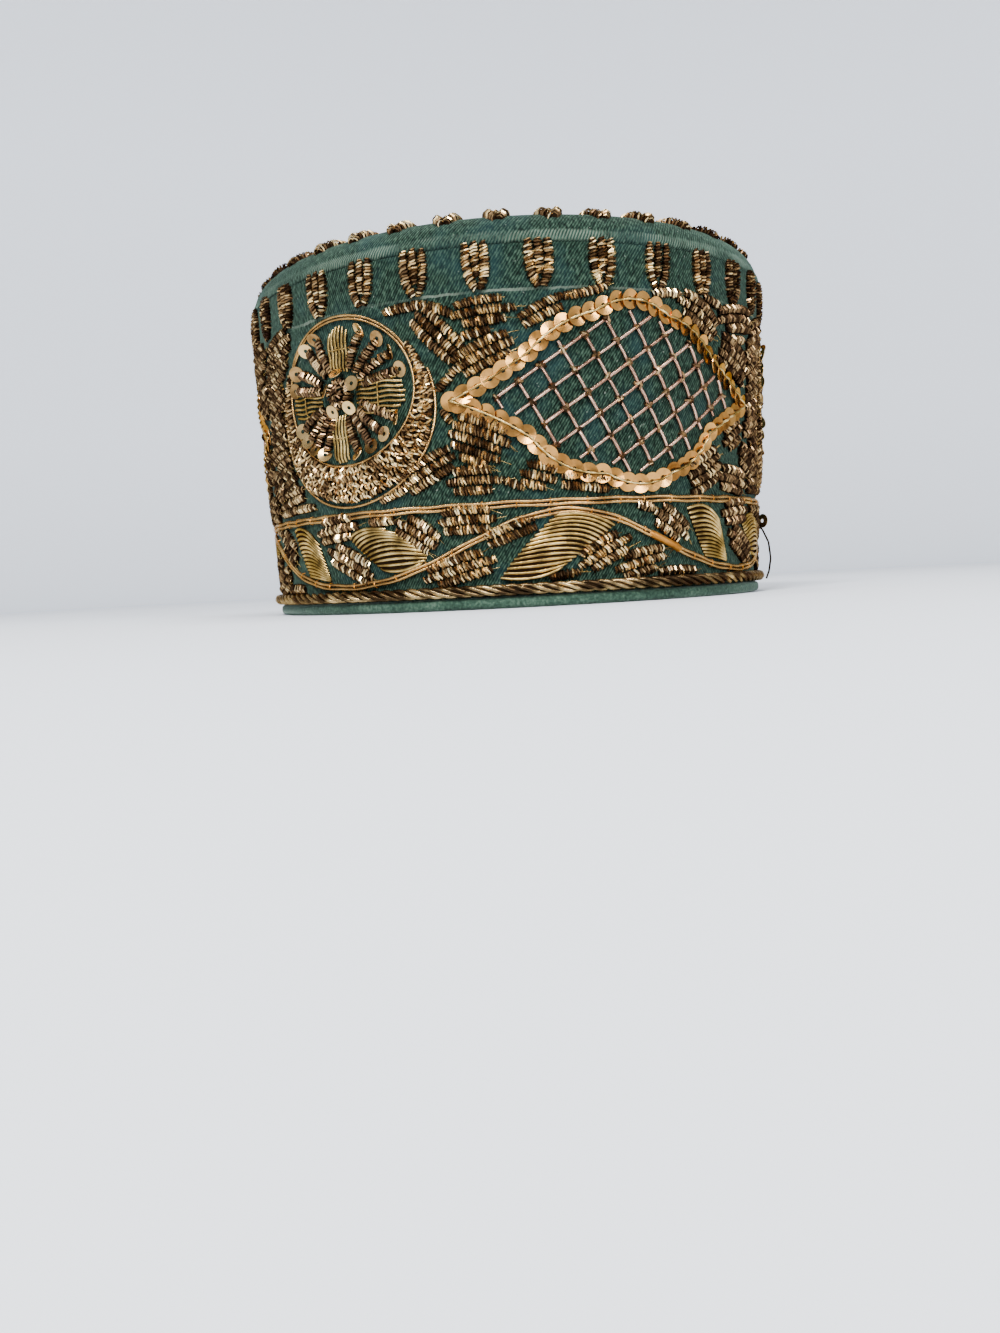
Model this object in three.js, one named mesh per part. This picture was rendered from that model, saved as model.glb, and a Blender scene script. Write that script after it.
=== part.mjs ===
// Embroidered velvet skullcap, modelled as the pieces it is sewn from.
// Millimetres, +Z up, front towards -Y, origin on the table under the middle of the rim.
import * as THREE from "three";

// Driving sizes of the cap
const RIM_HALF_WIDTH = 77;
const LENGTH_RATIO = 1.169;
const CREASE_HEIGHT = 95;
const CROWN_HEIGHT = 105;
const SHOULDER_RADIUS = 8;
const WALL_THICKNESS = 2.4;
const SEWN_GAP = 0.3;
const OVAL_SEGMENTS = 64;
const SHOULDER_DEGREES = [0, 30, 60, 90];
const DOME_SHARES = [0.66, 0.33, 0];

// Outer face of the wall: it flares a little from the rim to the top crease
const WALL_SECTIONS = [
  { height: 0, halfWidth: RIM_HALF_WIDTH },
  { height: 40, halfWidth: RIM_HALF_WIDTH + 2.3 },
  { height: 83, halfWidth: RIM_HALF_WIDTH + 4.3 },
  { height: CREASE_HEIGHT, halfWidth: RIM_HALF_WIDTH + 4.7 },
];

// Velvet binding folded over the lower edge, and the twisted cord above it
const BINDING_HEIGHT = 3.3;
const BINDING_CLOTH = 1;
const BINDING_FOLD = 1.4;
const RIM_CORD_RADIUS = 1.5;
const RIM_CORD_SIDES = 6;

// Bullion tongues standing in a ring under the crease
const TONGUE_COUNT = 33;
const TONGUE_START = -1;
const TONGUE_TIP_HEIGHT = 82.6;
const TONGUE_LENGTH = 12;
const TONGUE_HALF_WIDTH = 3.4;
const TONGUE_LIFT = 1.2;
const TONGUE_BEVEL = 0.6;
const TONGUE_SIDE = [
  { name: "taper", widthShare: 0.8, heightShare: 0.28 },
  { name: "belly", widthShare: 1, heightShare: 0.55 },
  { name: "top", widthShare: 0.8, heightShare: 0.95 },
];

// Roundels and lozenges take turns round the wall
const MOTIF_REPEATS = 3;
const ROUNDEL_CENTRE = { along: -60.5, height: 61.2 };
const ROUNDEL_SEGMENTS = 22;
const ROUNDEL_RINGS = [
  { name: "underside middle", drop: 0, halfWidth: 9, halfHeight: 7, lift: SEWN_GAP },
  { name: "underside", drop: 2.5, halfWidth: 19, halfHeight: 15.5, lift: SEWN_GAP },
  { name: "crescent foot", drop: 5.4, halfWidth: 30, halfHeight: 25.6, lift: SEWN_GAP },
  { name: "crescent edge", drop: 5.4, halfWidth: 30, halfHeight: 25.6, lift: 1.2 },
  { name: "crescent crest", drop: 2.9, halfWidth: 27.4, halfHeight: 22.8, lift: 2.4 },
  { name: "field cord", drop: 0, halfWidth: 24.6, halfHeight: 19.6, lift: 1.4 },
  { name: "field edge", drop: 0, halfWidth: 23, halfHeight: 18, lift: 0.8 },
  { name: "boss foot", drop: 0, halfWidth: 8, halfHeight: 6.6, lift: 1 },
  { name: "boss", drop: 0, halfWidth: 4.6, halfHeight: 3.9, lift: 2.8 },
];
const LOZENGE_BAND = 4.4;
const LOZENGE_EDGE_LIFT = 0.9;
const LOZENGE_CREST_LIFT = 1.4;
const LOZENGE_STEPS = 34;
const LOZENGE_ROUNDING = 0.4;
const LOZENGE_EDGE_ROUNDING = 0.1;
const LOZENGE_CLEAR_SHARE = 0.98;
const LOZENGE_OUTLINE = [
  { name: "base", along: 24.5, height: 32 },
  { name: "right shoulder below", along: 42, height: 37 },
  { name: "right ogee below", along: 54, height: 46.6 },
  { name: "right tip", along: 72, height: 54.8 },
  { name: "right ogee above", along: 56, height: 62.8 },
  { name: "right shoulder above", along: 41, height: 73.6 },
  { name: "apex", along: 23.5, height: 79.4 },
  { name: "left shoulder above", along: 2, height: 73 },
  { name: "left ogee above", along: -11, height: 62.5 },
  { name: "left tip", along: -25.4, height: 55.4 },
  { name: "left ogee below", along: -9, height: 46.4 },
  { name: "left shoulder below", along: 3, height: 37.8 },
];

// Lower frieze: a straight guard cord, a waving vine and three laid-thread leaves to a wave
const FRIEZE_REPEATS = 4;
const FRIEZE_CENTRE = 3;
const COUCHED_CORD_RADIUS = 0.9;
const COUCHED_CORD_SIDES = 6;
const GUARD_CORD_HEIGHT = 27.6;
const VINE_MIDDLE_HEIGHT = 15.5;
const VINE_SWING = 8.8;
const VINE_FLAT_TROUGH = 0.12;
const VINE_STEPS = 96;
const BACK_SEAM = 0.2;
const LEAF_LIFT = 1.2;
const LEAF_EDGE_LIFT = 0.7;
const LEAF_CREST_SHARE = 0.6;
const LAID_LEAVES = [
  {
    name: "under_arch",
    corners: [
      { along: -13.5, height: 8.6 },
      { along: -3.5, height: 9 },
      { along: 7.5, height: 13.5 },
      { along: 13.5, height: 20 },
      { along: 1.5, height: 23 },
      { along: -5.5, height: 19.5 },
    ],
  },
  {
    name: "left_of_arch",
    corners: [
      { along: -61.5, height: 21.4 },
      { along: -57, height: 15.8 },
      { along: -50.5, height: 12.4 },
      { along: -42, height: 13 },
      { along: -41, height: 18.6 },
      { along: -52, height: 22.4 },
    ],
  },
  {
    name: "right_of_arch",
    corners: [
      { along: 41.5, height: 23.6 },
      { along: 44, height: 17.4 },
      { along: 50, height: 12 },
      { along: 61, height: 10.4 },
      { along: 57.5, height: 18 },
      { along: 50, height: 23 },
    ],
  },
];

// Finishes
const velvet = new THREE.MeshStandardMaterial({ color: 0x2c5a4f, roughness: 0.95, metalness: 0 });
const palerVelvet = new THREE.MeshStandardMaterial({ color: 0x5b957d, roughness: 0.95, metalness: 0 });
const bullion = new THREE.MeshStandardMaterial({ color: 0x7a5c36, roughness: 0.4, metalness: 0.9 });
const laidGold = new THREE.MeshStandardMaterial({ color: 0xb08d4c, roughness: 0.35, metalness: 0.9 });
const spangle = new THREE.MeshStandardMaterial({ color: 0xb07c42, roughness: 0.3, metalness: 0.9 });

// Half width of the wall's outer face at a height, straight between the sections
function wallHalfWidth(height) {
  const upper = WALL_SECTIONS.findIndex((section) => section.height >= height);
  if (upper <= 0) return WALL_SECTIONS.at(upper).halfWidth;
  const below = WALL_SECTIONS[upper - 1];
  const above = WALL_SECTIONS[upper];
  return THREE.MathUtils.mapLinear(height, below.height, above.height, below.halfWidth, above.halfWidth);
}

// The oval at half height measures distances along the wall, from the middle of the front
const GIRTH_HALF_WIDTH = wallHalfWidth(CREASE_HEIGHT / 2);
const FRONT = -Math.PI / 2;
const girth = new THREE.EllipseCurve(
  0,
  0,
  GIRTH_HALF_WIDTH,
  GIRTH_HALF_WIDTH * LENGTH_RATIO,
  FRONT,
  FRONT + 2 * Math.PI,
);
const GIRTH_LENGTH = girth.getLength();

// Outward direction and place on the wall for a distance along it and a height
function wallFrame(along, height) {
  const turn = THREE.MathUtils.euclideanModulo(along / GIRTH_LENGTH, 1);
  const onGirth = girth.getPointAt(turn);
  const outward = new THREE.Vector3(onGirth.x, onGirth.y / LENGTH_RATIO ** 2, 0).normalize();
  const flare = wallHalfWidth(height) / GIRTH_HALF_WIDTH;
  const place = new THREE.Vector3(onGirth.x * flare, onGirth.y * flare, height);
  return { place, outward };
}

// Bends a piece made flat, with x along the wall, y up it and z off it, round the wall
function wrapOntoWall(geometry) {
  const position = geometry.getAttribute("position");
  for (let i = 0; i < position.count; i += 1) {
    const { place, outward } = wallFrame(position.getX(i), position.getY(i));
    place.addScaledVector(outward, position.getZ(i));
    position.setXYZ(i, place.x, place.y, place.z);
  }
  geometry.computeVertexNormals();
  return geometry;
}

// A closed profile, half width against height, turned round the oval
function ovalLathe(profile) {
  const points = profile.map(([halfWidth, height]) => new THREE.Vector2(halfWidth, height));
  return new THREE.LatheGeometry(points, OVAL_SEGMENTS).rotateX(Math.PI / 2).scale(1, LENGTH_RATIO, 1);
}

// Quads between each ring of points and the next, as triangles
function ringSkin(rings, links) {
  const sides = rings[0].length;
  const index = [];
  for (const [from, to] of links) {
    for (let side = 0; side < sides; side += 1) {
      const next = (side + 1) % sides;
      index.push(from * sides + side, from * sides + next, to * sides + side);
      index.push(from * sides + next, to * sides + next, to * sides + side);
    }
  }
  return index;
}

// A solid from points and the triangles between them
function solidFrom(points, index) {
  const geometry = new THREE.BufferGeometry().setFromPoints(points);
  geometry.setIndex(index);
  return geometry;
}

// A pad through rings of points, with a fan over the first and the last ring
function ringPad(rings) {
  const sides = rings[0].length;
  const middleOf = (ring) => ring.reduce((sum, p) => sum.add(p), new THREE.Vector3()).divideScalar(sides);
  const points = [...rings.flat(), middleOf(rings[0]), middleOf(rings.at(-1))];
  const firstMiddle = points.length - 2;
  const lastMiddle = points.length - 1;
  const lastRing = (rings.length - 1) * sides;
  const index = ringSkin(rings, rings.slice(1).map((_, from) => [from, from + 1]));
  for (let side = 0; side < sides; side += 1) {
    const next = (side + 1) % sides;
    index.push(firstMiddle, next, side);
    index.push(lastMiddle, lastRing + side, lastRing + next);
  }
  return solidFrom(points, index);
}

// A frame through rings of points, the last ring joined to the first
function ringFrame(rings) {
  const links = rings.map((_, from) => [from, (from + 1) % rings.length]);
  return solidFrom(rings.flat(), ringSkin(rings, links));
}

// Velvet wall, open at the foot for the head
function sideWall() {
  const foot = BINDING_CLOTH + SEWN_GAP;
  const heights = [foot, ...WALL_SECTIONS.slice(1).map((section) => section.height)];
  const outer = heights.map((height) => [wallHalfWidth(height), height]);
  const inner = heights.map((height) => [wallHalfWidth(height) - WALL_THICKNESS, height]).reverse();
  return ovalLathe([...outer, ...inner, outer[0]]);
}

// Crown panel: a round shoulder from the crease, then a low dome
function crownTop() {
  const edge = wallHalfWidth(CREASE_HEIGHT);
  const foot = CREASE_HEIGHT + SEWN_GAP;
  const domeRise = CROWN_HEIGHT - foot - SHOULDER_RADIUS;
  const skin = (inset) => {
    const radius = SHOULDER_RADIUS - inset;
    const shoulder = SHOULDER_DEGREES.map((degrees) => {
      const angle = THREE.MathUtils.degToRad(degrees);
      const halfWidth = edge - SHOULDER_RADIUS + radius * Math.cos(angle);
      return [halfWidth, foot + radius * Math.sin(angle)];
    });
    const dome = DOME_SHARES.map((share) => {
      const halfWidth = (edge - SHOULDER_RADIUS) * share;
      return [halfWidth, foot + radius + domeRise * (1 - share ** 2)];
    });
    return [...shoulder, ...dome];
  };
  const outside = skin(0);
  const inside = skin(WALL_THICKNESS);
  return ovalLathe([...inside.reverse(), ...outside]);
}

// Velvet strip folded round the wall's lower edge, flat where the cap stands
function rimBinding() {
  const outer = wallHalfWidth(0) + SEWN_GAP;
  const inner = wallHalfWidth(0) - WALL_THICKNESS - SEWN_GAP;
  const lipHeight = BINDING_HEIGHT - BINDING_CLOTH / 2;
  return ovalLathe([
    [inner, BINDING_CLOTH],
    [inner, BINDING_HEIGHT],
    [inner - BINDING_CLOTH, lipHeight],
    [inner - BINDING_CLOTH, BINDING_CLOTH / 2],
    [inner - BINDING_CLOTH / 2, 0],
    [outer + BINDING_CLOTH / 2, 0],
    [outer + BINDING_FOLD, BINDING_CLOTH],
    [outer + BINDING_FOLD, lipHeight - BINDING_CLOTH / 2],
    [outer + BINDING_CLOTH / 2, BINDING_HEIGHT],
    [outer + SEWN_GAP, BINDING_HEIGHT],
    [outer + SEWN_GAP, BINDING_CLOTH],
    [inner, BINDING_CLOTH],
  ]);
}

// Twisted cord lying on the wall above the binding
function rimCord() {
  const middleHeight = BINDING_HEIGHT + SEWN_GAP + RIM_CORD_RADIUS;
  const middle = wallHalfWidth(middleHeight) + SEWN_GAP + RIM_CORD_RADIUS;
  const profile = Array.from({ length: RIM_CORD_SIDES + 1 }, (_, side) => {
    const angle = (2 * Math.PI * side) / RIM_CORD_SIDES;
    return [middle + RIM_CORD_RADIUS * Math.cos(angle), middleHeight + RIM_CORD_RADIUS * Math.sin(angle)];
  });
  return ovalLathe(profile);
}

// One tongue of bullion, made flat: square at the crease and pointed below
function tongue() {
  const halfWidth = TONGUE_HALF_WIDTH - TONGUE_BEVEL;
  const side = (sign) => {
    return TONGUE_SIDE.map(({ widthShare, heightShare }) => {
      return new THREE.Vector2(sign * halfWidth * widthShare, TONGUE_LENGTH * heightShare);
    });
  };
  const tip = new THREE.Vector2(0, TONGUE_BEVEL);
  const outline = new THREE.Shape([tip, ...side(1), ...side(-1).reverse()]);
  return new THREE.ExtrudeGeometry(outline, {
    depth: TONGUE_LIFT - TONGUE_BEVEL,
    bevelThickness: TONGUE_BEVEL,
    bevelSize: TONGUE_BEVEL,
    bevelSegments: 1,
  }).translate(0, 0, SEWN_GAP + TONGUE_BEVEL);
}

// Lays a piece made flat against the wall, from a foot at a distance along it up its own length
function seatOnWall(mesh, along, footHeight, length) {
  const foot = wallFrame(along, footHeight);
  const top = wallFrame(along, footHeight + length);
  const up = top.place.sub(foot.place).normalize();
  const sideways = new THREE.Vector3().crossVectors(up, foot.outward).normalize();
  const outward = new THREE.Vector3().crossVectors(sideways, up);
  mesh.quaternion.setFromRotationMatrix(new THREE.Matrix4().makeBasis(sideways, up, outward));
  mesh.position.copy(foot.place);
  return mesh;
}

// Oval roundel: a crescent of chip work round a field with a flower boss
function roundel(offset) {
  const rings = ROUNDEL_RINGS.map(({ drop, halfWidth, halfHeight, lift }) => {
    return Array.from({ length: ROUNDEL_SEGMENTS }, (_, side) => {
      const angle = (2 * Math.PI * side) / ROUNDEL_SEGMENTS;
      const along = ROUNDEL_CENTRE.along + offset + halfWidth * Math.cos(angle);
      const height = ROUNDEL_CENTRE.height - drop + halfHeight * Math.sin(angle);
      return new THREE.Vector3(along, height, lift);
    });
  });
  return wrapOntoWall(ringPad(rings));
}

// Lozenge frame: the band that the spangles are sewn along, open over the trellis
function lozengeFrame(offset) {
  const corners = LOZENGE_OUTLINE.map(({ along, height }) => new THREE.Vector3(along + offset, height, 0));
  const sewnLine = new THREE.CatmullRomCurve3(corners, true, "catmullrom", LOZENGE_ROUNDING);
  const sewnPoints = sewnLine.getSpacedPoints(6 * LOZENGE_STEPS);
  const edge = (reach, lift) => {
    const nearest = LOZENGE_CLEAR_SHARE * Math.abs(reach);
    const staysClear = (point) => sewnPoints.every((sewn) => sewn.distanceTo(point) >= nearest);
    const points = Array.from({ length: LOZENGE_STEPS }, (_, step) => {
      const point = sewnLine.getPointAt(step / LOZENGE_STEPS);
      const heading = sewnLine.getTangentAt(step / LOZENGE_STEPS);
      return new THREE.Vector3(point.x + heading.y * reach, point.y - heading.x * reach, 0);
    });
    const kept = points.filter(staysClear);
    const outline = new THREE.CatmullRomCurve3(kept, true, "catmullrom", LOZENGE_EDGE_ROUNDING);
    return outline.getSpacedPoints(LOZENGE_STEPS).slice(1).map((point) => point.setZ(lift));
  };
  const reach = LOZENGE_BAND / 2;
  const rings = [
    edge(reach, SEWN_GAP),
    edge(reach, LOZENGE_EDGE_LIFT),
    edge(0, LOZENGE_CREST_LIFT),
    edge(-reach, LOZENGE_EDGE_LIFT),
    edge(-reach, SEWN_GAP),
  ];
  return wrapOntoWall(ringFrame(rings));
}

// A couched cord right round the wall, its ends meeting at the back, at the height a rule gives
function couchedCord(heightAt) {
  const length = GIRTH_LENGTH - 2 * BACK_SEAM;
  const lift = SEWN_GAP + COUCHED_CORD_RADIUS;
  const route = Array.from({ length: VINE_STEPS + 1 }, (_, step) => {
    const along = (step / VINE_STEPS - 0.5) * length;
    return new THREE.Vector3(along, heightAt(along), lift);
  });
  const section = new THREE.Shape();
  section.absarc(0, 0, COUCHED_CORD_RADIUS, 0, 2 * Math.PI);
  const cord = new THREE.ExtrudeGeometry(section, {
    steps: VINE_STEPS,
    curveSegments: COUCHED_CORD_SIDES / 2,
    extrudePath: new THREE.CatmullRomCurve3(route),
  });
  return wrapOntoWall(cord);
}

// Height of the vine: one wave to each repeat of the frieze, flatter below than above
function vineHeight(along) {
  const wave = (2 * Math.PI * FRIEZE_REPEATS * (along - FRIEZE_CENTRE)) / GIRTH_LENGTH;
  return VINE_MIDDLE_HEIGHT + VINE_SWING * (Math.cos(wave) + VINE_FLAT_TROUGH * Math.cos(2 * wave));
}

// A padded leaf of laid threads inside its corners
function laidLeaf(corners, offset) {
  const middle = new THREE.Vector3();
  for (const { along, height } of corners) {
    middle.add(new THREE.Vector3(along + offset, height, 0).divideScalar(corners.length));
  }
  const ring = (share, lift) =>
    corners.map(({ along, height }) => {
      const corner = new THREE.Vector3(along + offset, height, 0);
      return middle.clone().lerp(corner, share).setZ(lift);
    });
  const rings = [
    ring(LEAF_CREST_SHARE, SEWN_GAP),
    ring(1, SEWN_GAP),
    ring(1, LEAF_EDGE_LIFT),
    ring(LEAF_CREST_SHARE, LEAF_LIFT),
  ];
  return wrapOntoWall(ringPad(rings));
}

const cap = new THREE.Group();
const body = new THREE.Group();
const embroidery = new THREE.Group();
cap.add(body, embroidery);

// Adds a named piece to a group
function addPiece(group, name, geometry, material) {
  const mesh = new THREE.Mesh(geometry, material);
  mesh.name = name;
  group.add(mesh);
  return mesh;
}

addPiece(body, "side_wall", sideWall(), velvet);
addPiece(body, "crown_top", crownTop(), velvet);
addPiece(body, "rim_binding", rimBinding(), palerVelvet);
addPiece(embroidery, "rim_cord", rimCord(), bullion);
addPiece(embroidery, "guard_cord", couchedCord(() => GUARD_CORD_HEIGHT), laidGold);
addPiece(embroidery, "vine_cord", couchedCord(vineHeight), laidGold);

const tonguePad = tongue();
for (let count = 0; count < TONGUE_COUNT; count += 1) {
  const name = `tongue_${String(count + 1).padStart(2, "0")}`;
  const along = TONGUE_START + (GIRTH_LENGTH * count) / TONGUE_COUNT;
  seatOnWall(addPiece(embroidery, name, tonguePad, bullion), along, TONGUE_TIP_HEIGHT, TONGUE_LENGTH);
}

for (let repeat = 0; repeat < MOTIF_REPEATS; repeat += 1) {
  const offset = (GIRTH_LENGTH * repeat) / MOTIF_REPEATS;
  addPiece(embroidery, `roundel_${repeat + 1}`, roundel(offset), bullion);
  addPiece(embroidery, `lozenge_${repeat + 1}`, lozengeFrame(offset), spangle);
}

for (let repeat = 0; repeat < FRIEZE_REPEATS; repeat += 1) {
  const offset = (GIRTH_LENGTH * repeat) / FRIEZE_REPEATS;
  for (const { name, corners } of LAID_LEAVES) {
    addPiece(embroidery, `leaf_${name}_${repeat + 1}`, laidLeaf(corners, offset), laidGold);
  }
}

export default cap;
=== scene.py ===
import math

import bmesh
import bpy
import numpy as np
from mathutils import Matrix, Vector


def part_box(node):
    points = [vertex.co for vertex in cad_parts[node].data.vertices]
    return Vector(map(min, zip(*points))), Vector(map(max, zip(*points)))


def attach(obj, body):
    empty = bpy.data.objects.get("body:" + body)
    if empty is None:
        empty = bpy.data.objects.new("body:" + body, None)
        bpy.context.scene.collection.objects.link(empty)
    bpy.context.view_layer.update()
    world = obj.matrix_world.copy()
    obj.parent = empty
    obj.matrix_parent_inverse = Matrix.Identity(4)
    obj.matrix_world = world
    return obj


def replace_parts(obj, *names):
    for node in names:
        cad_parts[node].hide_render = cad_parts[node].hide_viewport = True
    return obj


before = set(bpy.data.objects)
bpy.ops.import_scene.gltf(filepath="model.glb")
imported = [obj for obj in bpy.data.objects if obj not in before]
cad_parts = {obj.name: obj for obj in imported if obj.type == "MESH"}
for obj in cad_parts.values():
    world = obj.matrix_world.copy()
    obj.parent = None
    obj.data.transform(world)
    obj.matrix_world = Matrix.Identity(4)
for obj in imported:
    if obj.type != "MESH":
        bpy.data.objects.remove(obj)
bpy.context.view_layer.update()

# Sizes of the cap in millimetres, from the frame
MM = 0.001
wall_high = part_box("side_wall")[1] / MM
CREASE_HEIGHT = wall_high.z
CREASE_HALF_WIDTH = wall_high.x
LENGTH_RATIO = wall_high.y / wall_high.x
CROWN_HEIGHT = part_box("crown_top")[1].z / MM
BINDING_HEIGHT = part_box("rim_binding")[1].z / MM
BINDING_HALF_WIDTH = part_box("rim_binding")[1].x / MM
CHALK_LINE_HEIGHT = 82.6
WALL_THICKNESS = 2.4
WALL_FOOT = 1.3
SHOULDER_RADIUS = 8
SEWN_GAP = 0.3
CROWN_FOOT = CREASE_HEIGHT + SEWN_GAP
WALL_HEIGHTS = (0, 40, 83, CREASE_HEIGHT)
WALL_FLARES = (4.7, 2.4, 0.4, 0)
WALL_HALF_WIDTHS = tuple(CREASE_HALF_WIDTH - flare for flare in WALL_FLARES)

# Repeats of the embroidery round the cap
TONGUE_COUNT = 33
CROWN_TONGUE_COUNT = 38
MOTIF_REPEATS = 3
FRIEZE_REPEATS = 4

# Metal thread: coils of bullion, couched and laid thread, spangles
RIB_PITCH = 0.8
RIB_WIDTH = 2.8
RIB_RISE = 1.55
RIB_WIRE = 0.35
RIB_OVERHANG = 0.25
WIRE_FLATNESS = 0.6
CORE_RADIUS = 0.85
CORE_LIFT = 0.25
COUCHED_RADIUS = 0.48
THREAD_STEP = 1.2
LAID_RADIUS = 0.44
LOZENGE_SPANGLE = 5.3
ROUNDEL_SPANGLE = 4.4
SPANGLE_HOLE = 0.27
SPANGLE_THICKNESS = 0.16
SPANGLE_DISH = 0.12

draw = np.random.default_rng(11)


# Surfaces that the embroidery is drawn on: distances in millimetres to places and directions
WALL_SLOPE_STEP = 0.5
CROWN_SLOPE_STEP = 0.3


def unit(vectors):
    return vectors / np.linalg.norm(vectors, axis=-1, keepdims=True)


def wall_half_width(height):
    return np.interp(height, WALL_HEIGHTS, WALL_HALF_WIDTHS)


def girth_table():
    half_width = wall_half_width(CREASE_HEIGHT / 2)
    turn = np.linspace(0, 2 * np.pi, 4097)
    across = half_width * np.sin(turn)
    deep = half_width * LENGTH_RATIO * np.cos(turn)
    steps = np.hypot(np.diff(across), np.diff(deep))
    return turn, np.concatenate([[0], np.cumsum(steps)])


GIRTH_TURN, GIRTH_RUN = girth_table()
GIRTH = GIRTH_RUN[-1]


# Distances along the wall at which a pattern starts again
def repeats(count):
    return [repeat * GIRTH / count for repeat in range(count)]


def oval_point(turn, half_width, height):
    return np.stack([half_width * np.sin(turn), -LENGTH_RATIO * half_width * np.cos(turn), height], axis=-1)


def wall_section(height):
    return wall_half_width(height), height


def crown_section(reach):
    inner = CREASE_HALF_WIDTH - SHOULDER_RADIUS
    angle = np.clip(reach / SHOULDER_RADIUS, 0, np.pi / 2)
    inset = np.maximum(reach - SHOULDER_RADIUS * np.pi / 2, 0)
    half_width = inner + SHOULDER_RADIUS * np.cos(angle) - inset
    dome_rise = CROWN_HEIGHT - CROWN_FOOT - SHOULDER_RADIUS
    dome = dome_rise * (1 - np.clip(half_width / inner, 0, 1) ** 2)
    return half_width, CROWN_FOOT + SHOULDER_RADIUS * np.sin(angle) + dome


# Places on a section turned round the oval, and the directions along, up and out from each
def oval_surface(section, step, along, reach):
    along, reach = np.broadcast_arrays(np.asarray(along, float), np.asarray(reach, float))
    turn = np.interp(np.mod(along, GIRTH), GIRTH_RUN, GIRTH_TURN)
    above = oval_point(turn, *section(reach + step))
    below = oval_point(turn, *section(reach - step))
    side = unit(np.stack([np.cos(turn), LENGTH_RATIO * np.sin(turn), 0 * turn], axis=-1))
    up = unit(above - below)
    return oval_point(turn, *section(reach)), side, up, unit(np.cross(side, up))


# The wall: distance along it from the middle of the front, and height
def wall(along, height):
    return oval_surface(wall_section, WALL_SLOPE_STEP, along, height)


# The crown: distance along the crease, and reach from it over the shoulder towards the middle
def crown(along, reach):
    return oval_surface(crown_section, CROWN_SLOPE_STEP, along, reach)


# Places of a drawn path, lifted off the cloth
def raised(surface, path, lift):
    place, side, up, out = surface(path[:, 0], path[:, 1])
    return place + out * np.reshape(lift, (-1, 1))


# Paths drawn flat, and what is sewn along them

def even_points(path, pitch):
    path = np.asarray(path, float)
    steps = np.linalg.norm(np.diff(path, axis=0), axis=1)
    run = np.concatenate([[0], np.cumsum(steps)])
    count = max(2, int(round(run[-1] / pitch)) + 1)
    at = np.linspace(0, run[-1], count)
    return np.stack([np.interp(at, run, path[:, k]) for k in range(path.shape[1])], axis=1)


def bent_line(start, end, bow=0.0, steps=9):
    start, end = np.array(start, float), np.array(end, float)
    share = np.linspace(0, 1, steps)
    run = end - start
    aside = np.array([-run[1], run[0]]) / np.hypot(*run)
    return start + np.outer(share, run) + np.outer(4 * bow * share * (1 - share), aside)


def ellipse_arc(centre, half_size, first, last, steps=60):
    angle = np.radians(np.linspace(first, last, steps))
    return centre + half_size * np.stack([np.cos(angle), np.sin(angle)], axis=1)


def ray_at(degrees):
    return np.array([math.cos(math.radians(degrees)), math.sin(math.radians(degrees))])


# Rows of things sewn at points: place, heading along the path, outward direction and size
class Sewn:
    def __init__(self):
        self.rows = []

    def along(self, surface, path, pitch, size=1.0, lift=0.0, taper=0.0):
        points = even_points(path, pitch)
        steps = np.gradient(points, axis=0)
        place, side, up, out = surface(points[:, 0], points[:, 1])
        heading = unit(side * steps[:, :1] + up * steps[:, 1:])
        share = np.linspace(0, 1, len(points))
        swell = 1 - taper * np.abs(2 * share - 1) ** 4
        self.rows.append((place + out * lift, heading, out, swell * size))

    def at(self, surface, point, direction, size=1.0, lift=0.0):
        place, side, up, out = surface([point[0]], [point[1]])
        heading = unit(side * direction[0] + up * direction[1])
        self.rows.append((place + out * lift, heading, out, np.array([size])))

    def arrays(self):
        return [np.concatenate(column) for column in zip(*self.rows)]


# Threads: polylines in space, each with its own thickness, diving into the cloth at their ends
class Threads:
    def __init__(self):
        self.paths = []

    def sew(self, surface, path, radius, lift, closed=False, dive=0.0):
        points = even_points(path, THREAD_STEP)
        share = np.linspace(0, 1, len(points))
        self.add(raised(surface, points, lift - dive * np.abs(2 * share - 1) ** 8), radius, closed)

    def add(self, places, radius, closed=False):
        self.paths.append((places[:-1] if closed else places, radius, closed))


# Coils of bullion: turns of wire sewn along a path over a dark core, which is painted shade inside the coil
class Coils(Sewn):
    def __init__(self):
        super().__init__()
        self.cores = Threads()

    def wind(self, surface, path, size=1.0, lift=0.0, taper=0.0, pitch=RIB_PITCH):
        self.along(surface, path, pitch, size, lift, taper)
        place, heading, out, sizes = self.rows[-1]
        kept = np.unique(np.linspace(0, len(place) - 1, max(3, len(place) // 3)).astype(int))
        self.cores.add((place + out * CORE_LIFT * size)[kept], CORE_RADIUS * size)


# Node trees that make what repeats

def new_tree(name, inputs):
    tree = bpy.data.node_groups.new(name, "GeometryNodeTree")
    tree.interface.new_socket("Geometry", in_out="INPUT", socket_type="NodeSocketGeometry")
    for label, kind, value in inputs:
        socket = tree.interface.new_socket(label, in_out="INPUT", socket_type=kind)
        if value is not None:
            socket.default_value = value
    tree.interface.new_socket("Geometry", in_out="OUTPUT", socket_type="NodeSocketGeometry")
    tree.nodes.new("NodeGroupInput")
    tree.nodes.new("NodeGroupOutput")
    return tree


def socket_named(sockets, name):
    return next(s for s in sockets if s.enabled and s.name.lower() == name.lower())


def join(tree, value, socket):
    if isinstance(value, bpy.types.Node):
        value = next(s for s in value.outputs if s.enabled)
    if isinstance(value, bpy.types.NodeSocket):
        tree.links.new(value, socket)
    else:
        socket.default_value = value


def add_node(tree, kind, settings=None, **inputs):
    node = tree.nodes.new(kind)
    for key, value in (settings or {}).items():
        setattr(node, key, value)
    for key, value in inputs.items():
        join(tree, value, socket_named(node.inputs, key.replace("_", " ")))
    return node


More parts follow.
